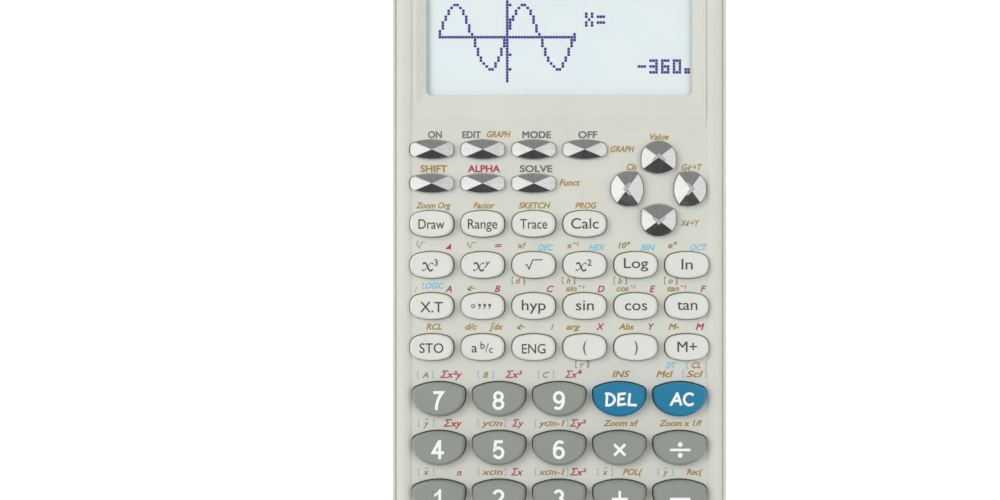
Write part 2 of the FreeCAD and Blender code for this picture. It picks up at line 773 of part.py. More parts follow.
def make_front_cover():
    """The front panel with its border, bezel, key holes, spigot and screw pillars."""
    body = new_body("front_cover")
    plate_foot = "dims.rear_height + dims.parting_gap"
    plate = new_sketch(body, "plate_outline", z=plate_foot)
    inset_rectangle(plate, "0")
    slab = pad(body, "plate", plate, f"dims.panel_top - ({plate_foot})")
    edges = level_edges(slab, size("dims.panel_top"))
    rounded = fillet(body, "edge_round", slab, edges, "dims.front_edge_round")
    foot = level_edges(rounded, size(plate_foot))
    chamfer(body, "parting_edge", rounded, foot, "dims.parting_chamfer")

    step = new_sketch(body, "step_outline", z="dims.panel_underside")
    inset_rectangle(step, "dims.wall + dims.spigot_gap")
    pad(body, "step", step, "dims.panel_top - dims.panel_underside - dims.merge")
    spigot = new_sketch(body, "spigot_outline", z="dims.panel_underside - dims.spigot_depth")
    inset_rectangle(spigot, "dims.wall + dims.spigot_gap")
    inset_rectangle(spigot, "dims.wall + dims.spigot_gap + dims.spigot_wall")
    pad(body, "spigot", spigot, "dims.spigot_depth + dims.merge")

    groove = new_sketch(body, "groove_outline", z="dims.panel_top + dims.overrun")
    inset_rectangle(groove, "dims.groove_inset")
    inset_rectangle(groove, "dims.groove_inset + dims.groove_width")
    pocket(body, "groove", groove, "dims.overrun + dims.groove_depth")
    border(body)

    ramp = new_sketch(body, "plateau_profile", plane="YZ_Plane")
    polygon(ramp, [
        ("dims.ramp_foot", "dims.panel_top - dims.merge"),
        ("dims.plateau_end", "dims.panel_top - dims.merge"),
        ("dims.plateau_end", "dims.panel_top + dims.plateau_rise"),
        ("dims.ramp_head", "dims.panel_top + dims.plateau_rise"),
        ("dims.ramp_foot", "dims.panel_top"),
    ])
    pad(body, "plateau", ramp, "2 * dims.plateau_half_width", both_ways=True)

    top = window_rectangle(body, "bezel_top", "dims.panel_top + dims.plateau_rise",
                           "dims.bezel_side", "dims.bezel_end", "dims.bezel_corner")
    foot = window_rectangle(body, "bezel_foot", "dims.panel_top + dims.plateau_rise - dims.bezel_depth")
    loft(body, "bezel", "SubtractiveLoft", [top, foot]).Ruled = True
    opening = window_rectangle(body, "opening_outline", "dims.panel_top + dims.overrun")
    pocket(body, "opening", opening, "dims.panel_top - dims.panel_underside + 2 * dims.overrun")
    frame_grow = "dims.lens_overlap + dims.lens_gap"
    frame = window_rectangle(body, "lens_frame_outline", "dims.panel_underside - dims.lens_thickness",
                             frame_grow, frame_grow)
    rounded_rectangle(frame, f"dims.window_width + 2 * ({frame_grow} + dims.lens_frame_wall)",
                      f"dims.window_length + 2 * ({frame_grow} + dims.lens_frame_wall)",
                      "dims.window_corner + dims.lens_frame_wall")
    pad(body, "lens_frame", frame, "dims.lens_thickness + dims.merge")

    front_posts(body)
    key_openings(body)
    return body


def make_display_window():
    """The clear lens glued up under the bezel."""
    body = new_body("display_window")
    outline = window_rectangle(body, "lens_outline", "dims.panel_underside - dims.lens_thickness",
                               "dims.lens_overlap", "dims.lens_overlap")
    pad(body, "lens", outline, "dims.lens_thickness")
    return body


def make_lcd_panel():
    """The liquid-crystal glass, the tray that holds it and its ribbon to the board."""
    holder_z = "dims.board_bottom + dims.board_thickness + dims.rest_gap"
    glass_z = f"{holder_z} + dims.glass_holder_thickness + dims.rest_gap"
    glass = new_body("lcd_glass")
    outline = window_rectangle(glass, "glass_outline", glass_z, "dims.glass_overlap",
                               "dims.glass_overlap", "dims.glass_corner")
    pad(glass, "glass", outline, "dims.glass_thickness")
    holder = new_body("lcd_holder")
    outline = window_rectangle(holder, "holder_outline", holder_z, "dims.glass_holder_overlap",
                               "dims.glass_holder_overlap", "dims.glass_holder_corner")
    pad(holder, "holder", outline, "dims.glass_holder_thickness")
    ribbon = new_body("lcd_ribbon")
    holder_end = "dims.window_centre - dims.window_length / 2 - dims.glass_holder_overlap"
    outline = new_sketch(ribbon, "ribbon_outline", y=f"{holder_end} - dims.ribbon_gap", z=holder_z)
    rounded_rectangle(outline, "dims.ribbon_width", "dims.ribbon_thickness", "dims.ribbon_corner")
    pad(ribbon, "ribbon", outline, "dims.glass_holder_thickness + dims.glass_thickness")
    return compound("lcd_panel", [glass, holder, ribbon])


# --- board, key mat and cells -----------------------------------------------------------------

def make_key_mat():
    """The rubber mat with one hollow dome under every key."""
    body = new_body("key_membrane")
    mat_z = "dims.board_bottom + dims.board_thickness + dims.rest_gap"
    outline = new_sketch(body, "mat_outline", y="dims.mat_centre", z=mat_z)
    rounded_rectangle(outline, "dims.mat_width", "dims.mat_length", "dims.mat_corner")
    pad(body, "mat", outline, "dims.mat_thickness")
    holes = new_sketch(body, "post_clearance", z=f"{mat_z} + dims.overrun")
    for x, y in SCREW_PLACES[-2:]:
        circle(holes, x, y, "dims.post_hole_in_board")
    pocket(body, "post_gaps", holes, "2 * dims.overrun")

    def dome(name, _, x, y):
        dome_z = f"{mat_z} + dims.mat_thickness - dims.merge"
        sketch = new_sketch(body, f"{name}_circle", x=x, y=y, z=dome_z)
        circle(sketch, "0", "0", "dims.dome_radius")
        feature = pad(body, name, sketch, f"dims.dome_top - ({dome_z})")
        feature.setExpression("TaperAngle", "-1 * dims.dome_taper")
        return sketch, feature

    at_every_key(body, "dome", dome)
    return body


def box(label, x, y, z, width, length, height):
    """A plain block; every argument is an expression, x and y being its middle."""
    block = doc.addObject("Part::Box", label)
    block.setExpression("Length", width)
    block.setExpression("Width", length)
    block.setExpression("Height", height)
    block.setExpression("Placement.Base.x", f"{x} - ({width}) / 2")
    block.setExpression("Placement.Base.y", f"{y} - ({length}) / 2")
    block.setExpression("Placement.Base.z", z)
    return block


CELL_COLUMNS = (-1, 0, 1)
# chips under the board: name, x, y, width, length, height
CHIPS = [
    ("processor", -6, -14, 14, 14, 1.6),
    ("memory", 14, -16, 11, 8, 1.5),
    ("display_driver", -6, 14, 16, 10, 1.5),
    ("crystal", 14, 4, 7, 2.4, 1.9),
    ("capacitor", 22, 4, 4, 3, 2.2),
]
BOARD_RESTS = [("-24", "-62"), ("24", "-62"), ("-24", "0"), ("24", "0")]


def cell_contact(index):
    """A bent spring leaf from the board down to the top of one cell."""
    leaf = new_body(f"contact_{index + 2}")
    profile = new_sketch(leaf, "leaf_profile", plane="YZ_Plane", x="dims.cell_row")
    foot = "dims.cell_bottom + dims.cell_height + dims.contact_rest_gap"
    riser = "dims.contact_reach - dims.contact_riser"
    polygon(profile, [
        ("-1 * dims.contact_reach", foot),
        ("dims.contact_reach", foot),
        ("dims.contact_reach", "dims.board_bottom"),
        (riser, "dims.board_bottom"),
        (riser, f"{foot} + dims.contact_leaf"),
        ("-1 * dims.contact_reach", f"{foot} + dims.contact_leaf"),
    ])
    pad(leaf, "leaf", profile, "dims.contact_width", both_ways=True)
    leaf.setExpression("Placement.Base.x", f"{index} * dims.cell_pitch")
    return leaf


def make_circuit_board():
    """The board with its chips and the cells' spring contacts."""
    board = new_body("board")
    outline = new_sketch(board, "board_outline", z="dims.board_bottom")
    rounded_rectangle(outline, "dims.board_width", "dims.board_length", "dims.board_corner")
    for x, y in SCREW_PLACES:
        circle(outline, x, y, "dims.post_hole_in_board")
    pad(board, "laminate", outline, "dims.board_thickness")
    chips = []
    for name, *numbers in CHIPS:
        x, y, width, length, height = map(str, numbers)
        chips.append(box(name, x, y, f"dims.board_bottom - {height}", width, length, height))
    return compound("circuit_board", [board, *chips, *[cell_contact(index) for index in CELL_COLUMNS]])


def make_coin_cells():
    """Three coin cells side by side, each with the step that rings its smaller pole."""
    cells = []
    for index in CELL_COLUMNS:
        cell = new_body(f"cell_{index + 2}")
        can = new_sketch(cell, "can_circle", z="dims.cell_bottom")
        circle(can, "0", "0", "dims.cell_radius")
        pad(cell, "can", can, "dims.cell_height - dims.cell_step_height")
        step = "dims.cell_step_height + dims.merge"
        cap = new_sketch(cell, "cap_circle", z=f"dims.cell_bottom + dims.cell_height - ({step})")
        circle(cap, "0", "0", "dims.cell_radius - dims.cell_step_width")
        pad(cell, "cap", cap, step)
        cell.setExpression("Placement.Base.x", f"{index} * dims.cell_pitch")
        cell.setExpression("Placement.Base.y", "dims.cell_row")
        cells.append(cell)
    return compound("coin_cells", cells)


# --- rear cover and battery cover -------------------------------------------------------------

def make_rear_cover():
    """The tub: chamfered rear edge, finger scoop, cell bays, cover track and screw pillars."""
    body = new_body("rear_cover")
    outline = new_sketch(body, "tub_outline")
    inset_rectangle(outline, "0")
    tub = pad(body, "tub", outline, "dims.rear_height")
    foot = level_edges(tub, 0)
    chamfered = chamfer(body, "rear_chamfer", tub, foot, "dims.rear_chamfer_height",
                        "dims.rear_chamfer_inset")
    rim = level_edges(chamfered, size("dims.rear_height"))
    chamfer(body, "parting_edge", chamfered, rim, "dims.parting_chamfer")

    upper = new_sketch(body, "upper_cavity", z="dims.rear_height + dims.overrun")
    inset_rectangle(upper, "dims.wall")
    pocket(body, "upper_space", upper, "dims.rear_height + dims.overrun - dims.lower_cavity_top")
    lower = new_sketch(body, "lower_cavity", z="dims.lower_cavity_top + dims.overrun")
    inset_rectangle(lower, "dims.lower_wall")
    pocket(body, "lower_space", lower, "dims.lower_cavity_top + dims.overrun - dims.floor")

    inner_width = "dims.case_width - 2 * dims.lower_wall + dims.overrun"
    floor_join = "dims.floor - dims.merge"
    hump = new_sketch(body, "scoop_floor_outline", y="dims.scoop_centre", z=floor_join)
    rounded_rectangle(hump, inner_width, "dims.scoop_length + 2 * dims.scoop_margin", "dims.rib_corner")
    pad(body, "scoop_floor", hump, f"dims.scoop_floor - ({floor_join})")
    bay_start = "dims.cover_start - dims.bay_margin"
    bay_end = "dims.case_length / 2 - dims.lower_wall + dims.overrun"
    bay_floor = new_sketch(body, "bay_floor_outline", y=f"({bay_start} + {bay_end}) / 2", z=floor_join)
    rounded_rectangle(bay_floor, "dims.cover_width + 2 * dims.bay_margin",
                      f"{bay_end} - ({bay_start})", "dims.rib_corner")
    pad(body, "bay_floor", bay_floor, f"dims.cover_inner + dims.bay_floor_thickness - ({floor_join})")
    bays = new_sketch(body, "bay_block_outline", y="dims.cell_row", z="dims.floor")
    rounded_rectangle(bays, "2 * (dims.cell_pitch + dims.cell_radius + dims.bay_margin)",
                      "2 * (dims.cell_radius + dims.bay_margin)", "dims.bay_margin")
    pad(body, "bay_block", bays, "dims.cell_roof - dims.floor")
    posts = new_sketch(body, "post_circles", z=floor_join)
    for x, y in SCREW_PLACES:
        circle(posts, x, y, "dims.rear_post")
    pad(body, "posts", posts, f"dims.post_meeting - ({floor_join})")
    rests = new_sketch(body, "board_rest_circles", z=floor_join)
    for x, y in BOARD_RESTS:
        circle(rests, x, y, "dims.board_rest_radius")
    pad(body, "board_rests", rests, f"dims.board_bottom - dims.rest_gap - ({floor_join})")

    radius = "((dims.scoop_length / 2) ^ 2 + dims.scoop_rise ^ 2) / (2 * dims.scoop_rise)"
    scoop = new_sketch(body, "scoop_circle", plane="YZ_Plane", x="dims.scoop_centre")
    circle(scoop, "0", f"dims.scoop_rise - {radius}", radius)
    pocket(body, "scoop", scoop, "2 * dims.case_width", both_ways=True)

    recess = new_sketch(body, "cover_recess_profile", plane="YZ_Plane")
    beyond = "dims.case_length / 2 + dims.overrun"
    polygon(recess, cover_profile("-1 * dims.cover_gap", "-1 * dims.overrun", beyond))
    pocket(body, "cover_recess", recess, "dims.cover_width + 2 * dims.cover_gap", both_ways=True)
    track = new_sketch(body, "cover_track_profile", plane="YZ_Plane")
    polygon(track, tongue_profile("dims.cover_gap", beyond))
    pocket(body, "cover_track", track,
           "dims.cover_width + 2 * dims.tongue_width + 2 * dims.cover_gap", both_ways=True)

    bay_foot = "dims.cover_inner - dims.merge"
    cells = new_sketch(body, "bay_circles", z=bay_foot)
    for index in CELL_COLUMNS:
        circle(cells, f"{index} * dims.cell_pitch", "dims.cell_row", "dims.cell_radius + dims.cell_gap")
    pocket(body, "bays", cells,
           f"dims.cell_bottom + dims.cell_height + dims.cell_headroom - ({bay_foot})", up=True)
    slots = new_sketch(body, "contact_slot_outline", x="-1 * dims.cell_pitch", y="dims.cell_row",
                       z="dims.cell_bottom + dims.cell_height - dims.overrun")
    rounded_rectangle(slots, "dims.contact_slot_width", "dims.contact_slot_length",
                      "dims.contact_slot_corner")
    slot = pocket(body, "contact_slot", slots, "dims.cell_roof", up=True)
    grid(body, "contact_slots", slot, slots, len(CELL_COLUMNS), "dims.cell_pitch")

    heads = new_sketch(body, "head_circles", z="-1 * dims.overrun")
    for x, y in SCREW_PLACES:
        circle(heads, x, y, "dims.head_recess")
    pocket(body, "head_recesses", heads, "dims.screw_seat + dims.overrun", up=True)
    holes = new_sketch(body, "screw_circles", z="0")
    for x, y in SCREW_PLACES:
        circle(holes, x, y, "dims.screw_clearance")
    pocket(body, "screw_holes", holes, "dims.post_meeting + dims.overrun", up=True)

    side = "dims.case_width / 2 - dims.rear_chamfer_inset / 2 - dims.notch_depth"
    for name, sign in (("left", -1), ("right", 1)):
        notch = new_sketch(body, f"notch_{name}_outline", plane="YZ_Plane", x="dims.notch_centre",
                           y="dims.rear_chamfer_height / 2", z=f"{sign} * ({side})")
        rounded_rectangle(notch, "dims.notch_length", "dims.notch_height", "dims.notch_corner")
        pocket(body, f"notch_{name}", notch, "dims.case_width", up=sign > 0)
    return body


def cover_profile(gap, outer, end):
    """Side view of the battery cover, or of its recess when the gap is negative."""
    return [
        (f"dims.cover_start + ({gap})", outer),
        (end, outer),
        (end, f"dims.cover_hook_top - ({gap})"),
        (f"dims.cover_hook + ({gap})", f"dims.cover_hook_top - ({gap})"),
        (f"dims.cover_hook + ({gap})", f"dims.cover_inner - ({gap})"),
        (f"dims.cover_start + ({gap})", f"dims.cover_inner - ({gap})"),
    ]


def tongue_profile(gap, end):
    """Side view of a tongue on the cover's edge, or of its track when grown by a gap."""
    start = f"dims.cover_start + dims.tongue_start - {gap}"
    return [
        (start, f"dims.tongue_bottom - {gap}"),
        (end, f"dims.tongue_bottom - {gap}"),
        (end, f"dims.tongue_top + {gap}"),
        (start, f"dims.tongue_top + {gap}"),
    ]


GRIP_COUNT = 4


def make_battery_cover():
    """The sliding door over the cells, with a hooked end, side tongues and thumb grooves."""
    body = new_body("battery_cover")
    profile = new_sketch(body, "door_profile", plane="YZ_Plane")
    end = "dims.case_length / 2 - dims.cover_end_gap"
    chamfer_foot = "dims.case_length / 2 - dims.rear_chamfer_inset"
    polygon(profile, [
        ("dims.cover_start", "dims.cover_outer"),
        (f"{chamfer_foot} - dims.cover_end_gap", "dims.cover_outer"),
        (end, "dims.cover_hook_top - dims.cover_lip"),
        (end, "dims.cover_hook_top"),
        ("dims.cover_hook", "dims.cover_hook_top"),
        ("dims.cover_hook", "dims.cover_inner"),
        ("dims.cover_start", "dims.cover_inner"),
    ])
    pad(body, "door", profile, "dims.cover_width", both_ways=True)
    tongues = new_sketch(body, "tongue_profile", plane="YZ_Plane")
    polygon(tongues, tongue_profile("0", "dims.cover_start + dims.tongue_start + dims.tongue_length"))
    pad(body, "tongues", tongues, "dims.cover_width + 2 * dims.tongue_width", both_ways=True)
    grip = new_sketch(body, "grip_outline", y="dims.grip_start")
    rounded_rectangle(grip, "dims.grip_width", "dims.grip_length", "dims.grip_corner")
    groove = pocket(body, "grip", grip, "dims.cover_outer + dims.grip_depth", up=True)
    pattern = body.newObject("PartDesign::LinearPattern", "grips")
    pattern.Originals = [groove]
    pattern.Direction = (grip, ["V_Axis"])
    pattern.Mode = "Spacing"
    pattern.setExpression("Offset", "dims.grip_pitch")
    pattern.Occurrences = GRIP_COUNT
    body.Tip = pattern
    return body


def make_screws():
    """Six equal pan-head screws, each with a cross recess, driven in from the rear."""
    screws = []
    for index, (x, y) in enumerate(SCREW_PLACES):
        screw = new_body(f"screw_{index + 1}")
        head_z = "dims.screw_seat - dims.screw_head_height"
        head = new_sketch(screw, "head_circle", z=head_z)
        circle(head, "0", "0", "dims.screw_head")
        cap = pad(screw, "head", head, "dims.screw_head_height")
        rim = level_edges(cap, size(head_z))
        fillet(screw, "pan", cap, rim, "dims.screw_pan_radius")
        shank = new_sketch(screw, "shank_circle", z="dims.screw_seat - dims.merge")
        circle(shank, "0", "0", "dims.screw_shank")
        pad(screw, "shank", shank, "dims.screw_tip - dims.screw_seat + dims.merge")
        long_side = "dims.screw_cross_length"
        short_side = "dims.screw_cross_width"
        for name, width, length in (("across", long_side, short_side), ("along", short_side, long_side)):
            slot = new_sketch(screw, f"recess_{name}", z=head_z)
            rounded_rectangle(slot, width, length, "dims.screw_cross_corner")
            pocket(screw, f"recess_cut_{name}", slot, "dims.screw_cross_depth", up=True)
        screw.setExpression("Placement.Base.x", x)
        screw.setExpression("Placement.Base.y", y)
        screws.append(screw)
    return compound("case_screws", screws)


# --- building, checking and writing -----------------------------------------------------------

def check(nodes):
    """Stop unless every object built and every cutting feature really changed its body."""
    doc.recompute()
    for item in doc.Objects:
        problems = [state for state in item.State if state in ("Invalid", "Error")]
        if problems:
            raise RuntimeError(f"{item.Name} did not build: {problems}")
        base = getattr(item, "BaseFeature", None)
        if base is not None and item.isDerivedFrom("PartDesign::Feature"):
            if abs(item.Shape.Volume - base.Shape.Volume) < 1e-4:
                raise RuntimeError(f"{item.Name} changed nothing")
    for node in nodes:
        if node.Shape.isNull() or not node.Shape.isValid():
            raise RuntimeError(f"{node.Label} has no valid shape")


def write(nodes):
    os.makedirs("parts", exist_ok=True)
    for node in nodes:
        node.Shape.exportStep(f"parts/{node.Label}.step")
        print(f"{node.Label}: {len(node.Shape.Solids)} solid(s), {node.Shape.Volume:.1f} mm3")


def main():
    nodes = [
        make_front_cover(),
        make_display_window(),
        make_lcd_panel(),
        make_key_mat(),
        make_circuit_board(),
        make_coin_cells(),
        make_rear_cover(),
        make_battery_cover(),
        make_screws(),
        *make_keys(),
    ]
    check(nodes)
    write(nodes)


main()
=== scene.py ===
"""Looks of the graphing calculator: finishes, printed legends, display image, light and camera."""

import math

import bmesh
import bpy
from mathutils import Matrix, Vector
from mathutils.bvhtree import BVHTree


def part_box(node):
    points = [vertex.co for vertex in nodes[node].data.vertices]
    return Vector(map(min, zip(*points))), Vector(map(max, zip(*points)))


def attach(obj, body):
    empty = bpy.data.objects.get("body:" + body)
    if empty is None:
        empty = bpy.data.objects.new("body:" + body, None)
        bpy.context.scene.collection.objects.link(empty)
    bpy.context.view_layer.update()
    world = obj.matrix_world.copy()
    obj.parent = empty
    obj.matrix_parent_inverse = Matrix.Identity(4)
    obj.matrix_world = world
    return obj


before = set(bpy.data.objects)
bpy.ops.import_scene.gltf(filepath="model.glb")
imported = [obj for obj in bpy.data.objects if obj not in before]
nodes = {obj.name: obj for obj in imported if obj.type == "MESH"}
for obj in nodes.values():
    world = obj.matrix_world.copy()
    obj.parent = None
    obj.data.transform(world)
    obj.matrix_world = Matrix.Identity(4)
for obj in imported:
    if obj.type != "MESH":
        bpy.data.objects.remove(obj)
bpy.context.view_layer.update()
MM = 0.001


def colour(red, green, blue):
    """A colour given on the 0 to 255 display scale, as linear light."""
    def linear(level):
        share = level / 255
        return share / 12.92 if share <= 0.04045 else ((share + 0.055) / 1.055) ** 2.4
    return linear(red), linear(green), linear(blue), 1.0


# --- node trees ---------------------------------------------------------------------------------

class Recipe:
    """A material or world in the making, with short calls for the nodes that several share."""

    def __init__(self, name, kind="Material"):
        store = bpy.data.materials if kind == "Material" else bpy.data.worlds
        self.material = store.new(name)
        self.material.use_nodes = True
        self.tree = self.material.node_tree
        self.tree.nodes.clear()
        self.output = self.tree.nodes.new("ShaderNodeOutput" + kind)
        self.place = self.add("TexCoord").outputs["Object" if kind == "Material" else "Generated"]

    def add(self, kind, inputs=None, **settings):
        node = self.tree.nodes.new("ShaderNode" + kind)
        for name, value in settings.items():
            setattr(node, name, value)
        for name, value in (inputs or {}).items():
            if isinstance(value, bpy.types.NodeSocket):
                self.tree.links.new(value, node.inputs[name])
            else:
                node.inputs[name].default_value = value
        return node

    def noise(self, size, detail=3.0, vector=None, roughness=0.55):
        """Smooth noise from 0 to 1 whose blotches are about size metres across."""
        inputs = {"Vector": vector or self.place, "Scale": 1 / size, "Detail": detail,
                  "Roughness": roughness}
        return self.add("TexNoise", inputs).outputs["Fac"]

    def spread(self, value, low, high, to_low, to_high):
        """Value from low to high turned into to_low to to_high."""
        inputs = {"Value": value, "From Min": low, "From Max": high, "To Min": to_low, "To Max": to_high}
        return self.add("MapRange", inputs).outputs["Result"]

    def math(self, operation, first, second=0.0):
        return self.add("Math", {0: first, 1: second}, operation=operation).outputs["Value"]

    def mix(self, share, first, second):
        inputs = {"Factor": share, "A": first, "B": second}
        node = self.tree.nodes.new("ShaderNodeMix")
        node.data_type = "RGBA"
        for socket in node.inputs:
            if socket.name in inputs and socket.enabled:
                value = inputs[socket.name]
                if isinstance(value, bpy.types.NodeSocket):
                    self.tree.links.new(value, socket)
                else:
                    socket.default_value = value
        return next(socket for socket in node.outputs if socket.enabled)

    def blend(self, share, first, second):
        """The number first at share 0 and second at share 1."""
        step = self.math("SUBTRACT", second, first)
        return self.math("ADD", first, self.math("MULTIPLY", share, step))

    def bump(self, height, depth, normal=None):
        """Relief of depth metres from a 0 to 1 height."""
        inputs = {"Height": height, "Distance": depth, "Strength": 1.0}
        if normal is not None:
            inputs["Normal"] = normal
        return self.add("Bump", inputs).outputs["Normal"]

    def rounded(self, radius):
        """The normal of edges rounded by radius metres."""
        return self.add("Bevel", {"Radius": radius}, samples=4).outputs["Normal"]

    def edges(self, rounded_normal):
        """1 on sharp outer and inner edges, 0 on flat ground."""
        flat = self.add("NewGeometry").outputs["Normal"]
        facing = self.add("VectorMath", {0: rounded_normal, 1: flat}, operation="DOT_PRODUCT")
        return self.spread(facing.outputs["Value"], 0.97, 0.80, 0.0, 1.0)

    def around(self):
        """The level direction from a node's own middle to a point, for brushed rays."""
        place = self.add("TexCoord").outputs["Generated"]
        arm = self.add("VectorMath", {0: place, 1: (0.5, 0.5, 0.5)}, operation="SUBTRACT")
        level = self.add("VectorMath", {0: arm.outputs["Vector"], 1: (1.0, 1.0, 0.0)},
                         operation="MULTIPLY")
        unit = self.add("VectorMath", {0: level.outputs["Vector"]}, operation="NORMALIZE")
        return unit.outputs["Vector"]

    def finish(self, inputs):
        shader = self.add("BsdfPrincipled", inputs)
        self.tree.links.new(shader.outputs["BSDF"], self.output.inputs["Surface"])
        return self.material


# --- finishes -------------------------------------------------------------------------------------

PLASTIC_CORNER = 0.12 * MM


def moulded_plastic(name, base, shade, grain=0.16 * MM, relief=0.004 * MM, smooth=0.34, rough=0.46,
                    edge_wear_and_highlight=None):
    """Injection-moulded plastic: fine spark-eroded grain, faint mottling, edges polished by use and a
    lighter colour along every edge that is part wear and part painted highlight.
    """
    recipe = Recipe(name)
    corner_normal = recipe.rounded(PLASTIC_CORNER)
    edge = recipe.edges(corner_normal)
    mottle = recipe.spread(recipe.noise(9 * MM, 4), 0.3, 0.7, 0.0, 1.0)
    body = recipe.mix(mottle, base, shade)
    # every edge is mixed towards the lighter edge colour: part wear, part painted highlight standing in
    # for light on the rounded edges
    lit = recipe.mix(recipe.math("MULTIPLY", edge, 0.35), body, edge_wear_and_highlight or base)
    handled = recipe.spread(recipe.noise(5 * MM, 5), 0.35, 0.65, smooth, rough)
    roughness = recipe.math("SUBTRACT", handled, recipe.math("MULTIPLY", edge, 0.08))
    grained = recipe.bump(recipe.noise(grain, 2), relief, corner_normal)
    waves = recipe.bump(recipe.noise(3 * MM, 2), 0.006 * MM, grained)
    return recipe.finish({"Base Color": lit, "Roughness": roughness, "Normal": waves,
                          "Specular IOR Level": 0.5})


def plated(name, tint):
    """Bright plating over moulded facets, with fine rays from the middle and faint handling smears."""
    recipe = Recipe(name)
    rays = recipe.noise(0.02, 2, recipe.around())
    smear = recipe.noise(2.4 * MM, 4)
    tone = recipe.mix(recipe.spread(rays, 0.35, 0.65, 0.0, 1.0), tint, colour(205, 204, 203))
    sharp = recipe.rounded(0.07 * MM)
    brushed = recipe.bump(rays, 0.006 * MM, sharp)
    roughness = recipe.spread(smear, 0.35, 0.65, 0.11, 0.2)
    return recipe.finish({"Base Color": tone, "Metallic": 1.0, "Roughness": roughness,
                          "Normal": brushed})


def steel(name, tint, satin=False):
    """Stamped or plated steel, scratched along one way or, if satin, alike in every way."""
    recipe = Recipe(name)
    if satin:
        lines = recipe.noise(0.09 * MM, 3)
    else:
        stretched = recipe.add("Mapping", {"Vector": recipe.place, "Scale": (0.08, 1.0, 1.0)})
        lines = recipe.noise(0.1 * MM, 3, stretched.outputs["Vector"])
    stain = recipe.spread(recipe.noise(2.5 * MM, 4), 0.4, 0.7, 0.0, 1.0)
    tone = recipe.mix(stain, tint, colour(168, 165, 158))
    roughness = recipe.spread(lines, 0.3, 0.7, 0.24, 0.42)
    relief = recipe.bump(lines, 0.004 * MM, recipe.rounded(0.08 * MM))
    return recipe.finish({"Base Color": tone, "Metallic": 1.0, "Roughness": roughness, "Normal": relief})


def clear_window():
    """Polished acrylic: what lies below shows through, with a soft gloss and hairline scratches."""
    recipe = Recipe("window_acrylic")
    hairs = recipe.add("Mapping", {"Vector": recipe.place, "Scale": (0.03, 1.0, 1.0),
                                   "Rotation": (0.0, 0.0, 0.7)})
    hair_noise = recipe.noise(0.25 * MM, 2, hairs.outputs["Vector"])
    scratches = recipe.spread(hair_noise, 0.55, 0.75, 0.03, 0.12)
    clear = recipe.add("BsdfTransparent", {"Color": (0.975, 0.985, 0.985, 1.0)})
    gloss = recipe.add("BsdfGlossy", {"Color": (1.0, 1.0, 1.0, 1.0), "Roughness": scratches})
    outer = recipe.math("SUBTRACT", 1.0, recipe.add("NewGeometry").outputs["Backfacing"])
    share = recipe.math("MULTIPLY", recipe.add("Fresnel", {"IOR": 1.4}).outputs["Fac"], outer)
    both = recipe.add("MixShader", {0: share, 1: clear.outputs["BSDF"], 2: gloss.outputs["BSDF"]})
    recipe.tree.links.new(both.outputs["Shader"], recipe.output.inputs["Surface"])
    return recipe.material


def display_glass():
    """The panel's matt front film over its reflector, with the rows of resting dots just visible."""
    recipe = Recipe("display_glass")
    parts = recipe.add("SeparateXYZ", {"Vector": recipe.place})
    gaps = []
    for axis, origin in (("X", GRAPH_ORIGIN[0]), ("Y", GRAPH_ORIGIN[1])):
        along = recipe.math("SUBTRACT", parts.outputs[axis], origin * MM)
        cell = recipe.math("FRACT", recipe.math("DIVIDE", along, DOT_PITCH * MM))
        from_middle = recipe.math("ABSOLUTE", recipe.math("SUBTRACT", cell, 0.5))
        gaps.append(recipe.math("LESS_THAN", from_middle, 0.5 * (1 - DOT_SHARE)))
    gap = recipe.math("MAXIMUM", gaps[0], gaps[1])
    cloud = recipe.spread(recipe.noise(11 * MM, 3), 0.3, 0.7, 0.0, 1.0)
    ground = recipe.mix(cloud, colour(238, 245, 247), colour(242, 248, 248))
    face = recipe.mix(gap, recipe.mix(0.045, ground, colour(120, 130, 165)), ground)
    film = recipe.bump(recipe.noise(0.08 * MM, 2), 0.001 * MM)
    return recipe.finish({"Base Color": face, "Roughness": 0.42, "Normal": film})


def ink(name, tone, deep, rough=0.5):
    """Pad-printed ink, a little uneven in density."""
    recipe = Recipe(name)
    density = recipe.spread(recipe.noise(0.35 * MM, 3), 0.35, 0.75, 0.0, 1.0)
    grain = recipe.bump(recipe.noise(0.12 * MM, 2), 0.003 * MM)
    return recipe.finish({"Base Color": recipe.mix(density, tone, deep), "Roughness": rough,
                          "Normal": grain})


def silicone():
    recipe = Recipe("silicone_mat")
    dust = recipe.spread(recipe.noise(0.5 * MM, 4), 0.5, 0.8, 0.0, 0.35)
    tone = recipe.mix(dust, colour(96, 98, 97), colour(140, 140, 136))
    soft = recipe.bump(recipe.noise(0.2 * MM, 3), 0.006 * MM, recipe.rounded(0.1 * MM))
    return recipe.finish({"Base Color": tone, "Roughness": 0.72, "Normal": soft,
                          "Subsurface Weight": 0.1, "Subsurface Scale": 0.001})


def solder_mask():
    """Green board with raised copper tracks under the mask."""
    recipe = Recipe("board_laminate")
    track = recipe.add("TexVoronoi", {"Vector": recipe.place, "Scale": 1 / (2.2 * MM)},
                       feature="F1", distance="MANHATTAN").outputs["Distance"]
    lines = recipe.spread(recipe.math("PINGPONG", track, 0.12), 0.045, 0.06, 0.0, 1.0)
    tone = recipe.mix(lines, colour(16, 74, 42), colour(28, 104, 60))
    relief = recipe.bump(lines, 0.02 * MM)
    return recipe.finish({"Base Color": tone, "Roughness": 0.3, "Normal": relief})


DOT_PITCH = 0.74                    # between the display's dots, in mm
DOT_SHARE = 0.9                     # side of a dot as a share of the pitch
GRAPH_ORIGIN = (-13.17, 49.77)      # where the graph's axes cross on the display, in mm
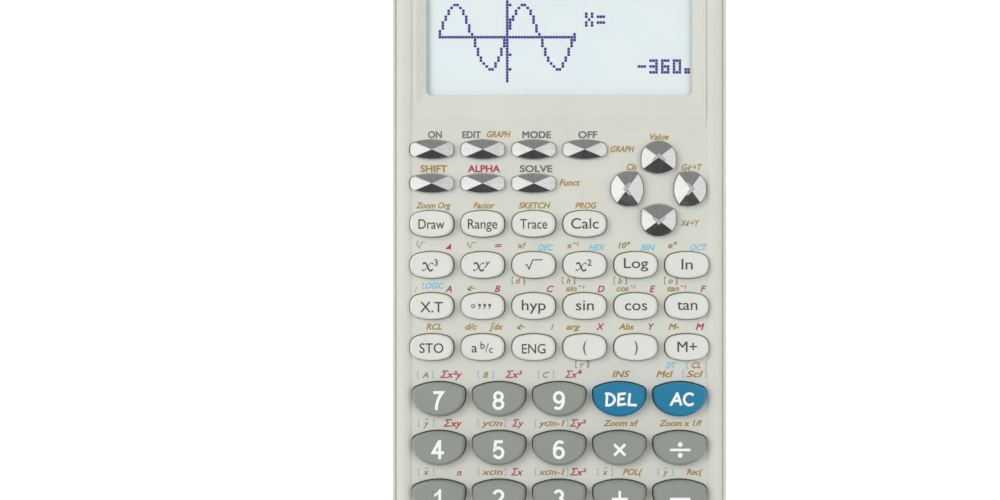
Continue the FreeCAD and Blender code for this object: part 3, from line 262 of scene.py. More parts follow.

# the last colour of each plastic is its edge colour, lighter than the body: part wear, part painted
# highlight
CASE = moulded_plastic("case_plastic", colour(214, 215, 206), colour(210, 211, 201),
                       edge_wear_and_highlight=colour(224, 225, 217))
WHITE_KEY = moulded_plastic("white_keys", colour(222, 223, 216), colour(218, 219, 211), grain=0.1 * MM,
                            relief=0.002 * MM, smooth=0.27, rough=0.36, edge_wear_and_highlight=colour(232, 233, 227))
GREY_KEY = moulded_plastic("grey_keys", colour(145, 150, 142), colour(140, 145, 137), grain=0.1 * MM,
                           relief=0.002 * MM, smooth=0.27, rough=0.38, edge_wear_and_highlight=colour(176, 180, 172))
BLUE_KEY = moulded_plastic("blue_keys", colour(24, 124, 162), colour(20, 117, 155), grain=0.1 * MM,
                           relief=0.002 * MM, smooth=0.27, rough=0.36, edge_wear_and_highlight=colour(70, 150, 188))
PLATED = plated("plated_keys", colour(236, 236, 235))
BLACK_PLASTIC = moulded_plastic("chip_epoxy", colour(34, 34, 36), colour(28, 28, 30), rough=0.55)
FRAME_PLASTIC = moulded_plastic("display_tray", colour(190, 192, 188), colour(180, 182, 178))
SCREW_STEEL = steel("screw_steel", colour(190, 190, 192))
CELL_STEEL = steel("cell_steel", colour(214, 213, 209), satin=True)
CONTACT_STEEL = steel("contact_steel", colour(205, 200, 186))

FINISHES = {
    "case_plastic": CASE,
    "white_keys": WHITE_KEY,
    "grey_keys": GREY_KEY,
    "blue_keys": BLUE_KEY,
    "plated_keys": PLATED,
    "window_acrylic": clear_window(),
    "lcd_glass": display_glass(),
    "silicone_mat": silicone(),
    "board_laminate": solder_mask(),
    "cell_steel": CELL_STEEL,
    "screw_steel": SCREW_STEEL,
}


def refinish(node, material):
    """Every material slot of a CAD node takes the new finish."""
    mesh = node.data
    if not mesh.materials:
        mesh.materials.append(material)
    for index in range(len(mesh.materials)):
        mesh.materials[index] = material


def second_finish(node, material, belongs):
    """The faces whose middle, in mm, passes the test take a further material."""
    node.data.materials.append(material)
    index = len(node.data.materials) - 1
    for face in node.data.polygons:
        if belongs(face.center / MM):
            face.material_index = index


UNDER_WINDOW = 1.6     # from the window's lower face down to the display's tray, in mm
BOARD_LOW = 7.55       # a height just under the board, above the chips and contacts, in mm
CHIPS_END = 40         # along the case, where the chips end and the cells' contacts begin, in mm


def refinish_nodes():
    for node in nodes.values():
        slot_name = node.data.materials[0].name.split(".")[0] if node.data.materials else None
        refinish(node, FINISHES.get(slot_name, CASE))
    tray_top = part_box("display_window")[0].z / MM - UNDER_WINDOW
    second_finish(nodes["lcd_panel"], FRAME_PLASTIC, lambda place: place.z < tray_top)
    board = nodes["circuit_board"]
    second_finish(board, BLACK_PLASTIC, lambda place: place.z < BOARD_LOW and place.y < CHIPS_END)
    second_finish(board, CONTACT_STEEL, lambda place: place.z < BOARD_LOW and place.y >= CHIPS_END)


refinish_nodes()


# --- printed legends ------------------------------------------------------------------------------

CAP_SHARE = 0.69       # height of a capital in a letter of size 1
INK_LIFT = 0.012       # height of the ink's middle over the surface, in mm
INK_HALF = 0.012       # half the ink's thickness, in mm
INK_STEP = 0.002       # height of each further stroke where strokes cross, in mm

INKS = {
    "grey": ink("ink_grey", colour(104, 107, 107), colour(112, 115, 114)),
    "key_grey": ink("ink_key_grey", colour(66, 69, 69), colour(76, 79, 79)),
    "gold": ink("ink_gold", colour(158, 122, 44), colour(172, 138, 62)),
    "crimson": ink("ink_crimson", colour(168, 48, 74), colour(180, 66, 90)),
    "cyan": ink("ink_cyan", colour(112, 184, 216), colour(132, 196, 224)),
    "blue_bracket": ink("ink_blue_bracket", colour(128, 164, 190), colour(140, 174, 198)),
    "green_bracket": ink("ink_green_bracket", colour(78, 116, 58), colour(92, 128, 72)),
    "white": ink("ink_white", colour(246, 247, 246), colour(240, 241, 240), rough=0.4),
    "dots": ink("display_dots", colour(36, 20, 132), colour(44, 28, 140), rough=0.35),
}


def letters(text, cap, bold=0.0, slant=0.0, width=None):
    """The letters' solid as a mesh in mm, centred on x = 0 with the capitals' middle at y = 0."""
    if bold and "M" in text:
        thin = [letters(text, cap, 0.0, slant, width and width - 2 * bold) for _ in range(4)]
        corners = ((-bold, -bold), (bold, -bold), (-bold, bold), (bold, bold))
        return merged([put(shape, *corner) for shape, corner in zip(thin, corners)])
    curve = bpy.data.curves.new("letters", "FONT")
    curve.body = text
    curve.size = cap / CAP_SHARE
    curve.offset = bold
    curve.shear = slant
    curve.extrude = INK_HALF
    curve.resolution_u = 5
    thing = bpy.data.objects.new("letters", curve)
    mesh = bpy.data.meshes.new_from_object(thing)
    bpy.data.objects.remove(thing)
    bpy.data.curves.remove(curve)
    shape = bmesh.new()
    shape.from_mesh(mesh)
    bpy.data.meshes.remove(mesh)
    bmesh.ops.remove_doubles(shape, verts=shape.verts, dist=1e-4)
    low = min(vert.co.x for vert in shape.verts)
    high = max(vert.co.x for vert in shape.verts)
    stretch = width / (high - low) if width else 1.0
    for vert in shape.verts:
        vert.co.x = (vert.co.x - (low + high) / 2) * stretch
        vert.co.y -= cap / 2
    return shape


def prism(shape, left, right, closed=False):
    """Ink between two rails of points, in mm: flat top and bottom, side walls and, if open, ends."""
    rails = []
    for rail in (left, right):
        for level in (INK_HALF, -INK_HALF):
            rails.append([shape.verts.new((x, y, level)) for x, y in rail])
    left_top, left_bottom, right_top, right_bottom = rails
    count = len(left)
    for step in range(count if closed else count - 1):
        after = (step + 1) % count
        for first, second in ((right_top, left_top), (left_top, left_bottom),
                              (left_bottom, right_bottom), (right_bottom, right_top)):
            shape.faces.new((first[step], first[after], second[after], second[step]))
    if not closed:
        for end in (0, -1):
            shape.faces.new((left_top[end], left_bottom[end], right_bottom[end], right_top[end]))


def strokes(lines, thickness):
    """A solid in mm from strokes with mitred corners; a line that ends where it starts is closed."""
    shape = bmesh.new()
    half = thickness / 2
    for points in lines:
        closed = points[0] == points[-1]
        ends = [Vector(point) for point in (points[:-1] if closed else points)]
        left, right = [], []
        for index, point in enumerate(ends):
            before = (point - ends[index - 1]).normalized() if index or closed else None
            following = ends[(index + 1) % len(ends)]
            after = (following - point).normalized() if closed or index + 1 < len(ends) else None
            along = ((before or after) + (after or before)).normalized()
            side = Vector((-along.y, along.x))
            straight = before or after
            reach = half / max(0.4, side.dot(Vector((-straight.y, straight.x))))
            left.append(point + side * reach)
            right.append(point - side * reach)
        prism(shape, left, right, closed)
    return shape


def plate(points):
    """A solid in mm inside one outline."""
    shape = bmesh.new()
    top = [shape.verts.new((x, y, INK_HALF)) for x, y in points]
    bottom = [shape.verts.new((x, y, -INK_HALF)) for x, y in points]
    shape.faces.new(top)
    shape.faces.new(bottom[::-1])
    for index, point in enumerate(top):
        following = (index + 1) % len(top)
        shape.faces.new((point, bottom[index], bottom[following], top[following]))
    shape.normal_update()
    bmesh.ops.triangulate(shape, faces=[face for face in shape.faces if len(face.verts) > 4])
    return shape


def bow(x, y, across, along, start, end, count=22):
    """Points on part of an ellipse, from start to end in degrees; a full turn closes on itself."""
    turns = [math.radians(start + (end - start) * index / count) for index in range(count + 1)]
    points = [(x + across * math.cos(turn), y + along * math.sin(turn)) for turn in turns]
    if abs(end - start) == 360:
        points[-1] = points[0]
    return points


def disc(radius, sides=20):
    """A flat round dot in mm."""
    shape = bmesh.new()
    bmesh.ops.create_cone(shape, cap_ends=True, segments=sides, radius1=radius, radius2=radius,
                          depth=2 * INK_HALF)
    return shape


def put(shape, x, y, turn=0.0, scale=1.0):
    """Moves a mark in mm."""
    place = Matrix.Translation((x, y, 0)) @ Matrix.Rotation(turn, 4, "Z") @ Matrix.Diagonal(
        (scale, scale, 1, 1))
    bmesh.ops.transform(shape, matrix=place, verts=shape.verts)
    return shape


def merged(shapes, step=INK_STEP):
    """Several marks as one, each a hair over the one before, so that crossings don't coincide."""
    whole = bmesh.new()
    for index, shape in enumerate(shapes):
        bmesh.ops.translate(shape, vec=(0, 0, index * step), verts=shape.verts)
        mesh = bpy.data.meshes.new("part")
        shape.to_mesh(mesh)
        shape.free()
        whole.from_mesh(mesh)
        bpy.data.meshes.remove(mesh)
    return whole


ABOVE_ALL = 30         # a height over every part, in mm
# a second and third look where a ray meets an edge
BESIDE = [Vector(aside) * MM for aside in ((0, 0, 0), (0.013, 0.007, 0), (-0.011, 0.009, 0))]
surfaces = {}


def surface(name):
    """The CAD node's faces, ready to be asked for the height at a point."""
    if name not in surfaces:
        mesh = nodes[name].data
        surfaces[name] = BVHTree.FromPolygons([vert.co for vert in mesh.vertices],
                                              [face.vertices[:] for face in mesh.polygons])
    return surfaces[name]


def lay_on(shape, name, x, y, step=None):
    """Moves a mark in mm to x, y and bends it onto the node's top, as closed ink in metres."""
    if step:
        for axis in (0, 1):
            values = [vert.co[axis] for vert in shape.verts]
            count = math.ceil(max(values) / step)
            for index in range(math.floor(min(values) / step), count + 1):
                normal = Vector((0, 0, 0))
                normal[axis] = 1
                bmesh.ops.bisect_plane(shape, geom=shape.verts[:] + shape.edges[:] + shape.faces[:],
                                       dist=1e-5, plane_co=normal * (index * step), plane_no=normal)
    tree = surface(name)
    down = Vector((0, 0, -1))
    top = max(vert.co.z for vert in nodes[name].data.vertices)
    for vert in shape.verts:
        spot = Vector(((x + vert.co.x) * MM, (y + vert.co.y) * MM, ABOVE_ALL * MM))
        hits = [tree.ray_cast(spot + aside, down)[0] for aside in BESIDE]
        height = max((hit.z for hit in hits if hit), default=top)
        vert.co = Vector((spot.x, spot.y, height + (INK_LIFT + vert.co.z) * MM))
    return shape


def piece(name, shape, material, body):
    mesh = bpy.data.meshes.new(name)
    bmesh.ops.recalc_face_normals(shape, faces=shape.faces)
    shape.to_mesh(mesh)
    shape.free()
    mesh.materials.append(material)
    thing = bpy.data.objects.new(name, mesh)
    bpy.context.scene.collection.objects.link(thing)
    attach(thing, body)
    return thing


def middle(name):
    """Middle of a CAD node seen from above, in mm."""
    low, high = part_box(name)
    return (low.x + high.x) / 2 / MM, (low.y + high.y) / 2 / MM


# --- legends on the keys --------------------------------------------------------------------------

KEY_CAP = 2.45
DIGIT_CAP = 4.75
KEY_BOLD = 0.02

# white keys: node, text, width, shift of the capitals' middle from the key's, capital height
WHITE_WORDS = [
    ("key_draw", "Draw", 6.5, -0.05, 2.4),
    ("key_range", "Range", 7.4, 0.0, 2.4),
    ("key_trace", "Trace", 6.8, 0.0, 2.4),
    ("key_calculate", "Calc", 6.9, 0.1, 2.6),
    ("key_log", "Log", 6.1, 0.5, 2.5),
    ("key_ln", "ln", 2.8, 0.2, 2.6),
    ("key_variable", "X.T", 5.7, -0.2, 2.6),
    ("key_hyperbolic", "hyp", 6.0, 0.3, 2.6),
    ("key_sine", "sin", 4.5, 0.3, 2.6),
    ("key_cosine", "cos", 5.6, 0.3, 2.6),
    ("key_tangent", "tan", 5.1, 0.4, 2.6),
    ("key_store", "STO", 6.0, -0.15, 2.4),
    ("key_engineering", "ENG", 5.9, -0.3, 2.4),
    ("key_open_bracket", "(", 0.85, 0.3, 2.7),
    ("key_close_bracket", ")", 0.85, 0.3, 2.7),
    ("key_memory_plus", "M+", 4.9, 0.2, 2.6),
]

# the strokes of each digit for a height of 1, on the middle of the stroke
DIGIT_STROKES = {
    0: [bow(0, 0, 0.235, 0.42, 90, 450)],
    2: [bow(0, 0.195, 0.23, 0.225, 168, -28) + [(-0.235, -0.42), (0.27, -0.42)]],
    3: [bow(-0.01, 0.215, 0.2, 0.205, 160, -80), bow(0, -0.185, 0.235, 0.235, 82, -158)],
    4: [[(0.06, 0.43), (-0.26, -0.16), (0.31, -0.16)], [(0.09, 0.5), (0.09, -0.5)]],
    5: [[(0.23, 0.42), (-0.15, 0.42), (-0.2, 0.0)] + bow(0.0, -0.16, 0.235, 0.26, 128, -158)],
    6: [bow(0.045, 0.0, 0.28, 0.42, 52, 180) + [(-0.235, -0.15)], bow(0, -0.165, 0.235, 0.255, 90, 450)],
    7: [[(-0.25, 0.42), (0.235, 0.42), (0.09, 0.22), (-0.02, -0.02), (-0.075, -0.26), (-0.09, -0.5)]],
    8: [bow(0, 0.215, 0.2, 0.205, 90, 450), bow(0, -0.2, 0.235, 0.22, 90, 450)],
}
DIGIT_WEIGHT = 0.155
ONE_OUTLINE = [(0.02, -0.5), (0.165, -0.5), (0.165, 0.5), (0.06, 0.5), (0.0, 0.39), (-0.1, 0.3),
               (-0.2, 0.24), (-0.2, 0.11), (-0.08, 0.17), (0.02, 0.25)]


def number(digit):
    """A plain sans-serif digit at full size, made of strokes of one weight."""
    if digit == 1:
        return put(plate(ONE_OUTLINE), 0, 0, scale=DIGIT_CAP)
    if digit == 9:
        return put(number(6), 0, 0, turn=math.pi)
    parts = []
    for line in DIGIT_STROKES[digit]:
        full = [(x * DIGIT_CAP, y * DIGIT_CAP) for x, y in line]
        parts.append(strokes([full], DIGIT_WEIGHT * DIGIT_CAP))
    return merged(parts)


# brushed capitals for a height of 1: strokes, width
BRUSHED = {
    "D": ([[(-0.24, 0.44), (-0.29, -0.46)], [(-0.4, 0.42)] + bow(-0.26, -0.01, 0.58, 0.45, 74, -80, 12)
           + [(-0.38, -0.43)]], 0.92),
    "E": ([[(-0.22, 0.44), (-0.26, -0.44)], [(-0.3, 0.38), (0.3, 0.44)], [(-0.26, 0.0), (0.2, 0.05)],
           [(-0.34, -0.42), (0.32, -0.34)]], 0.78),
    "L": ([[(-0.16, 0.46), (-0.24, -0.4), (0.36, -0.44)]], 0.74),
    "A": ([[(-0.44, -0.48), (0.08, 0.46)], [(0.04, 0.5), (0.36, -0.46)],
           [(-0.28, -0.14), (0.3, -0.1)]], 1.0),
    "C": ([bow(0.04, -0.01, 0.4, 0.43, 42, 318, 18)], 0.86),
}


def brushed_word(word, cap, weight):
    """A word in round-hand capitals, centred on x = 0."""
    parts = []
    total = sum(BRUSHED[letter][1] for letter in word)
    edge = -total / 2
    for letter in word:
        lines, wide = BRUSHED[letter]
        for line in lines:
            moved = [((x + edge + wide / 2) * cap, y * cap) for x, y in line]
            parts.append(strokes([moved], weight))
        edge += wide
    return merged(parts)


def script_x(height):
    """A bold italic x with curled ends, as mathematics is set; height is that of small letters."""
    stretch = 1.12
    thick = [(-0.50, 0.30), (-0.42, 0.44), (-0.26, 0.48), (-0.14, 0.34), (0.12, -0.34), (0.24, -0.48),
             (0.42, -0.44), (0.52, -0.26)]
    thin = [(-0.56, -0.36), (-0.46, -0.47), (-0.32, -0.40), (0.0, 0.0), (0.30, 0.40), (0.44, 0.47),
            (0.54, 0.38)]
    marks = []
    for line, weight in ((thick, 0.19), (thin, 0.085)):
        scaled = [(x * height * stretch, y * height) for x, y in line]
        marks.append(strokes([scaled], weight * height))
    for x, y in ((-0.52, -0.38), (0.52, 0.38)):
        marks.append(put(disc(0.09 * height), x * height * stretch, y * height))
    return merged(marks)


def power_of_x(exponent, slant=0.0):
    raised = letters(exponent, 1.6, KEY_BOLD * 1.6, slant)
    return merged([put(script_x(2.1), -0.95, -0.45), put(raised, 1.15, 0.62)])


def root_sign():
    tick = [(-2.1, -0.1), (-1.75, 0.15), (-1.15, -1.0), (-0.25, 1.3), (2.25, 1.3)]
    return strokes([tick], 0.26)


def degree_marks():
    marks = [strokes([bow(-2.35, 0, 0.4, 0.4, 0, 360)], 0.22)]
    for index in range(3):
        x = -0.75 + index * 1.25
        marks.append(put(disc(0.34), x, 0.3))
        marks.append(strokes([[(x + 0.22, 0.3), (x + 0.12, -0.25), (x - 0.25, -0.62)]], 0.22))
    return merged(marks)


def fraction_marks():
    return merged([
        put(letters("a", KEY_CAP, KEY_BOLD), -2.05, 0.0),
        put(letters("b", 1.75, KEY_BOLD), 0.0, 0.55),
        strokes([[(0.75, -1.15), (1.45, 1.05)]], 0.2),
        put(letters("c", 1.75, KEY_BOLD), 2.1, -0.45),
    ])


def cross(reach, thickness, turn=0.0):
    """A plus sign as one outline."""
    half = thickness / 2
    corner = [(half, half), (half, reach), (-half, reach)]
    outline = []
    for quarter in range(4):
        place = Matrix.Rotation(quarter * math.pi / 2, 2)
        outline.extend(tuple(place @ Vector(point)) for point in corner)
    return put(plate(outline), 0, 0, turn)


def operator_marks():
    bar = [[(-2.55, 0), (2.55, 0)]]
    divide = [strokes(bar, 0.62), put(disc(0.6, 28), 0, 1.34), put(disc(0.6, 28), 0, -1.34)]
    return {
        "key_multiply": cross(1.95, 0.68, math.pi / 4),
        "key_divide": merged(divide),
        "key_add": cross(2.0, 0.64),
        "key_subtract": strokes(bar, 0.66),
        "key_point": put(disc(0.5, 28), 0, -1.6),
    }


def key_legend(name, shape, material, place=None, body=None, label=None, step=0.7):
    x, y = place or middle(name)
    lay_on(shape, name, x, y, step)
    title = label or name.removeprefix("key_")
    piece(f"legend_{title}", shape, INKS[material], body or name)


def print_keys():
    for name, text, width, shift, cap in WHITE_WORDS:
        shape = put(letters(text, cap, KEY_BOLD, width=width), 0, shift)
        key_legend(name, shape, "key_grey")
    for name, shape in (
            ("key_cube", power_of_x("3")),
            ("key_power", power_of_x("y", 0.3)),
            ("key_square", power_of_x("2")),
            ("key_root", root_sign()),
            ("key_degree", degree_marks()),
            ("key_fraction", fraction_marks())):
        key_legend(name, shape, "key_grey")
    for digit in range(10):
        key_legend(f"key_digit_{digit}", put(number(digit), -0.1, -0.2), "white")
    for name, shape in operator_marks().items():
        key_legend(name, put(shape, 0, -0.25), "white")
    key_legend("key_delete", put(brushed_word("DEL", 3.35, 0.62), 0.2, 0.1), "white")
    key_legend("key_all_clear", put(brushed_word("AC", 3.35, 0.62), 0.5, 0.15), "white")
    joined = "keys_exponent_answer_execute"
    pitch = middle("key_digit_8")[0] - middle("key_digit_7")[0]
    x, y = middle(joined)
    for index, (text, width) in enumerate((("EXP", 6.4), ("Ans", 6.0), ("EXE", 6.4))):
        key_legend(joined, letters(text, 2.9, 0.06, width=width), "white",
                   (x + (index - 1) * pitch, y), joined, text.lower())


print_keys()


# --- legends on the case --------------------------------------------------------------------------

SLANT = 0.28
SMALL = 1.45

# node, shift from its middle in mm, ink, text, width, capital height
PANEL_WORDS = [
    ("key_on", 0.72, 3.78, "grey", "ON", 3.5, 1.64),
    ("key_learn", -2.86, 3.78, "grey", "EDIT", 4.7, 1.64),
    ("key_learn", 3.98, 3.9, "gold", "GRAPH", 6.0, 1.5),
    ("key_mode", 0.7, 3.78, "grey", "MODE", 7.2, 1.64),
    ("key_off", 0.75, 3.78, "grey", "OFF", 4.8, 1.64),
    ("key_off", 9.5, 0.15, "gold", "GRAPH", 6.0, 1.5),
    ("key_shift", 0.45, 3.73, "gold", "SHIFT", 6.7, 1.68),
    ("key_alpha", 0.25, 3.73, "crimson", "ALPHA", 8.2, 1.68),
    ("key_solve", 0.57, 3.73, "grey", "SOLVE", 8.2, 1.64),
    ("key_solve", 9.0, 0.25, "gold", "Funct", 5.2, 1.5),
    ("key_up", 0.25, 5.27, "gold", "Value", 4.7, 1.5),
    ("key_left", 1.2, 5.57, "gold", "Cls", 2.5, 1.5),
    ("key_right", 0.55, 5.5, "gold", "G↔T", 5.2, 1.5),
    ("key_down", 7.93, -0.65, "gold", "X↔Y", 4.8, 1.5),
    ("key_draw", 0.3, 4.62, "gold", "Zoom Org", 8.8, SMALL),
    ("key_range", 0.27, 4.62, "gold", "Factor", 5.4, SMALL),
    ("key_trace", 0.17, 4.62, "gold", "SKETCH", 8.05, SMALL),
    ("key_calculate", 0.3, 4.62, "gold", "PROG", 5.4, SMALL),
    ("key_cube", -2.9, 4.92, "gold", "³√", 2.6, SMALL),
    ("key_cube", 4.05, 4.7, "crimson", "◢", 1.5, 1.4),
    ("key_power", -2.9, 4.92, "gold", "ˣ√", 2.6, SMALL),
    ("key_power", 3.85, 4.8, "crimson", "=", 1.9, SMALL),
    ("key_root", -3.2, 4.92, "gold", "x!", 2.3, SMALL),
    ("key_root", 3.0, 4.4, "cyan", "DEC", 3.9, SMALL),
    ("key_square", -3.1, 4.92, "gold", "x⁻¹", 3.2, SMALL),
    ("key_square", 3.1, 4.4, "cyan", "HEX", 4.1, SMALL),
    ("key_log", -2.8, 4.92, "gold", "10ˣ", 3.2, SMALL),
    ("key_log", 3.1, 4.4, "cyan", "BIN", 3.6, SMALL),
    ("key_ln", -3.4, 4.92, "gold", "eˣ", 2.5, SMALL),
    ("key_ln", 3.05, 4.4, "cyan", "OCT", 4.2, SMALL),
    ("key_variable", -4.1, 4.4, "gold", ":", None, SMALL),
    ("key_variable", 0.2, 5.07, "cyan", "LOGIC", 5.7, SMALL),
    ("key_variable", 4.15, 4.28, "crimson", "A", None, 1.6),
    ("key_degree", -2.86, 4.5, "gold", "←", 2.1, 1.5),
    ("key_degree", 3.65, 4.28, "crimson", "B", None, 1.6),
    ("key_hyperbolic", -3.93, 6.37, "green_bracket", "[d]", None, SMALL),
    ("key_hyperbolic", -4.2, 3.6, "gold", ".", None, 2.2),
    ("key_hyperbolic", 4.15, 4.28, "crimson", "C", None, 1.6),
    ("key_sine", -4.1, 6.37, "green_bracket", "[h]", None, SMALL),
    ("key_sine", -2.4, 4.4, "gold", "sin⁻¹", 4.8, SMALL),
    ("key_sine", 4.1, 4.28, "crimson", "D", None, 1.6),
    ("key_cosine", -3.9, 6.37, "green_bracket", "[b]", None, SMALL),
    ("key_cosine", -2.4, 4.4, "gold", "cos⁻¹", 4.8, SMALL),
    ("key_cosine", 4.2, 4.28, "crimson", "E", None, 1.6),
    ("key_tangent", -4.0, 6.37, "green_bracket", "[o]", None, SMALL),
    ("key_tangent", -2.4, 4.4, "gold", "tan⁻¹", 4.8, SMALL),
    ("key_tangent", 4.2, 4.28, "crimson", "F", None, 1.6),
    ("key_store", 0.5, 5.1, "gold", "RCL", 4.0, SMALL),
    ("key_fraction", -2.96, 5.1, "gold", "d/c", 3.1, SMALL),
    ("key_fraction", 3.3, 5.1, "gold", "∫dx", 3.7, SMALL),
    ("key_engineering", -3.2, 5.1, "gold", "←", 2.1, 1.5),
    ("key_engineering", 4.65, 5.1, "gold", "i", None, SMALL),
    ("key_open_bracket", -2.9, 5.1, "gold", "arg", 3.6, SMALL),
    ("key_open_bracket", 3.9, 5.1, "crimson", "X", None, 1.55),
    ("key_close_bracket", -2.4, 5.1, "gold", "Abs", 3.9, SMALL),
    ("key_close_bracket", 4.0, 5.1, "crimson", "Y", None, 1.55),
    ("key_memory_plus", -3.2, 5.1, "gold", "M-", 2.7, SMALL),
    ("key_memory_plus", 3.4, 5.1, "crimson", "M", 2.2, 1.55),
    ("key_digit_7", -3.5, 6.0, "blue_bracket", "[A]", 3.9, SMALL),
    ("key_digit_7", 3.0, 6.1, "crimson", "Σx²y", 5.6, 1.7),
    ("key_digit_8", -3.4, 6.0, "blue_bracket", "[B]", 3.9, SMALL),
    ("key_digit_8", 3.6, 6.1, "crimson", "Σx³", 4.3, 1.7),
    ("key_digit_9", -3.35, 6.0, "blue_bracket", "[C]", 3.9, SMALL),
    ("key_digit_9", 3.55, 6.1, "crimson", "Σx⁴", 4.3, 1.7),
    ("key_digit_9", 5.7, 8.6, "green_bracket", "[r]", 3.1, SMALL),
    ("key_delete", 0.4, 6.2, "gold", "INS", 4.5, 1.6),
    ("key_all_clear", -2.1, 8.4, "cyan", "DT", 2.6, SMALL),
    ("key_all_clear", 4.3, 8.4, "blue_bracket", "[CL]", 4.8, SMALL),
    ("key_all_clear", -3.7, 6.2, "gold", "Mcl", 4.2, 1.6),
    ("key_all_clear", 3.85, 6.2, "blue_bracket", "[Scl]", 5.8, 1.6),
    ("key_digit_4", -3.3, 6.1, "blue_bracket", "[ȳ]", 3.9, SMALL),
    ("key_digit_4", 3.4, 6.1, "crimson", "Σxy", 4.8, 1.7),
    ("key_digit_5", -1.9, 6.1, "blue_bracket", "[yσn]", 6.9, SMALL),
    ("key_digit_5", 4.65, 6.1, "crimson", "Σy", 3.0, 1.7),
    ("key_digit_6", -1.95, 6.1, "blue_bracket", "[yσn-1]", 8.2, SMALL),
    ("key_digit_6", 4.65, 6.1, "crimson", "Σy²", 4.2, 1.7),
    ("key_multiply", 0.4, 6.1, "gold", "Zoom xf", 9.0, SMALL),
    ("key_divide", 0.3, 6.1, "gold", "Zoom x 1/f", 11.0, SMALL),
    ("key_digit_1", -3.3, 6.1, "blue_bracket", "[x̄]", 3.9, SMALL),
    ("key_digit_1", 5.0, 6.0, "crimson", "n", None, 1.6),
    ("key_digit_2", -1.8, 6.1, "blue_bracket", "[xσn]", 6.9, SMALL),
    ("key_digit_2", 4.5, 6.1, "crimson", "Σx", 3.1, 1.7),
    ("key_digit_3", -1.95, 6.1, "blue_bracket", "[xσn-1]", 8.2, SMALL),
    ("key_digit_3", 4.7, 6.1, "crimson", "Σx²", 4.2, 1.7),
    ("key_add", -3.6, 6.1, "blue_bracket", "[x̂]", 3.7, SMALL),
    ("key_add", 3.4, 6.1, "gold", "POL(", 5.1, SMALL),
    ("key_subtract", -3.5, 6.1, "blue_bracket", "[ŷ]", 3.7, SMALL),
    ("key_subtract", 3.9, 6.1, "gold", "Rec(", 4.2, SMALL),
    ("key_digit_0", 0.0, 6.1, "gold", "Rnd", 4.2, SMALL),
    ("key_point", 0.0, 6.1, "gold", "Ran#", 5.0, SMALL),
]

BRACKET_WIDTH = 3.1     # of a pair of brackets whose row gives no width, in mm
BRACKET_HEIGHT = 0.85   # from the middle to the top, in mm
BRACKET_LIP = 0.38      # length of the short arms, in mm
BRACKET_WEIGHT = 0.17


def bracketed(text, cap, width):
    """A pair of light brackets and, apart from them, the slanted word between them."""
    word = text[1:-1]
    wide = width or BRACKET_WIDTH
    inner = letters(word.replace("̄", "").replace("̂", ""), cap, 0.045, SLANT,
                    max(0.9, wide - 1.5) if width and len(word) > 2 else None)
    marks = [inner]
    if "̄" in word:
        marks.append(strokes([[(-0.3, 0.95), (0.6, 0.95)]], 0.17))
    if "̂" in word:
        marks.append(strokes([[(-0.3, 0.8), (0.12, 1.15), (0.5, 0.8)]], 0.16))
    arms = []
    for side in (-1, 1):
        edge = side * wide / 2
        lip = edge - side * BRACKET_LIP
        arms.append([(lip, BRACKET_HEIGHT), (edge, BRACKET_HEIGHT), (edge, -BRACKET_HEIGHT),
                     (lip, -BRACKET_HEIGHT)])
    return merged(marks), strokes(arms, BRACKET_WEIGHT)


def panel_mark(text, cap, width, ink_name):
    """One word or sign as it is printed on the panel."""
    if text == "◢":
        return plate([(-0.75, -0.75), (0.75, -0.75), (0.75, 0.75)])
    upright = ink_name == "grey" or text in ("SHIFT", "ALPHA")
    if text in ("³√", "ˣ√"):
        sign_lines = [[(-1.0, -0.05), (-0.7, 0.1), (-0.35, -0.75), (0.3, 0.75), (1.35, 0.75)]]
        index_mark = put(letters("3" if text == "³√" else "x", 0.8, 0.02, SLANT), -0.85, 0.65)
        return merged([strokes(sign_lines, 0.17), index_mark])
    return letters(text, cap, 0.07 if upright else 0.055, 0.0 if upright else SLANT, width)


def print_panel():
    """All the legends round the keys, one mesh for each ink."""
    groups = {}
    for name, across, along, ink_name, text, width, cap in PANEL_WORDS:
        x, y = middle(name)
        if text.startswith("["):
            word, brackets = bracketed(text, cap, width)
            marks = [("gold", word), (ink_name, brackets)]
        else:
            marks = [(ink_name, panel_mark(text, cap, width, ink_name))]
        for ink_key, shape in marks:
            laid = lay_on(shape, "front_cover", x + across, y + along)
            groups.setdefault(ink_key, []).append(laid)
    for ink_key, shapes in groups.items():
        piece(f"panel_print_{ink_key}", merged(shapes, 0), INKS[ink_key], "case")


print_panel()


# --- display image --------------------------------------------------------------------------------

GLYPHS = {
    "-": ["...", "...", "###", "...", "..."],
    "3": ["###", "..#", "###", "..#", "###"],
    "6": ["###", "#..", "###", "#.#", "###"],
    "0": ["###", "#.#", "#.#", "#.#", "###"],
    "X": ["#.#", "#.#", ".#.", "#.#", "#.#"],
    "=": ["...", "###", "...", "###", "..."],
}
AXIS_HALF_WIDTH = 23
AXIS_HALF_HEIGHT = 15
WAVE_HEIGHT = 11
WAVE_PERIOD = 23


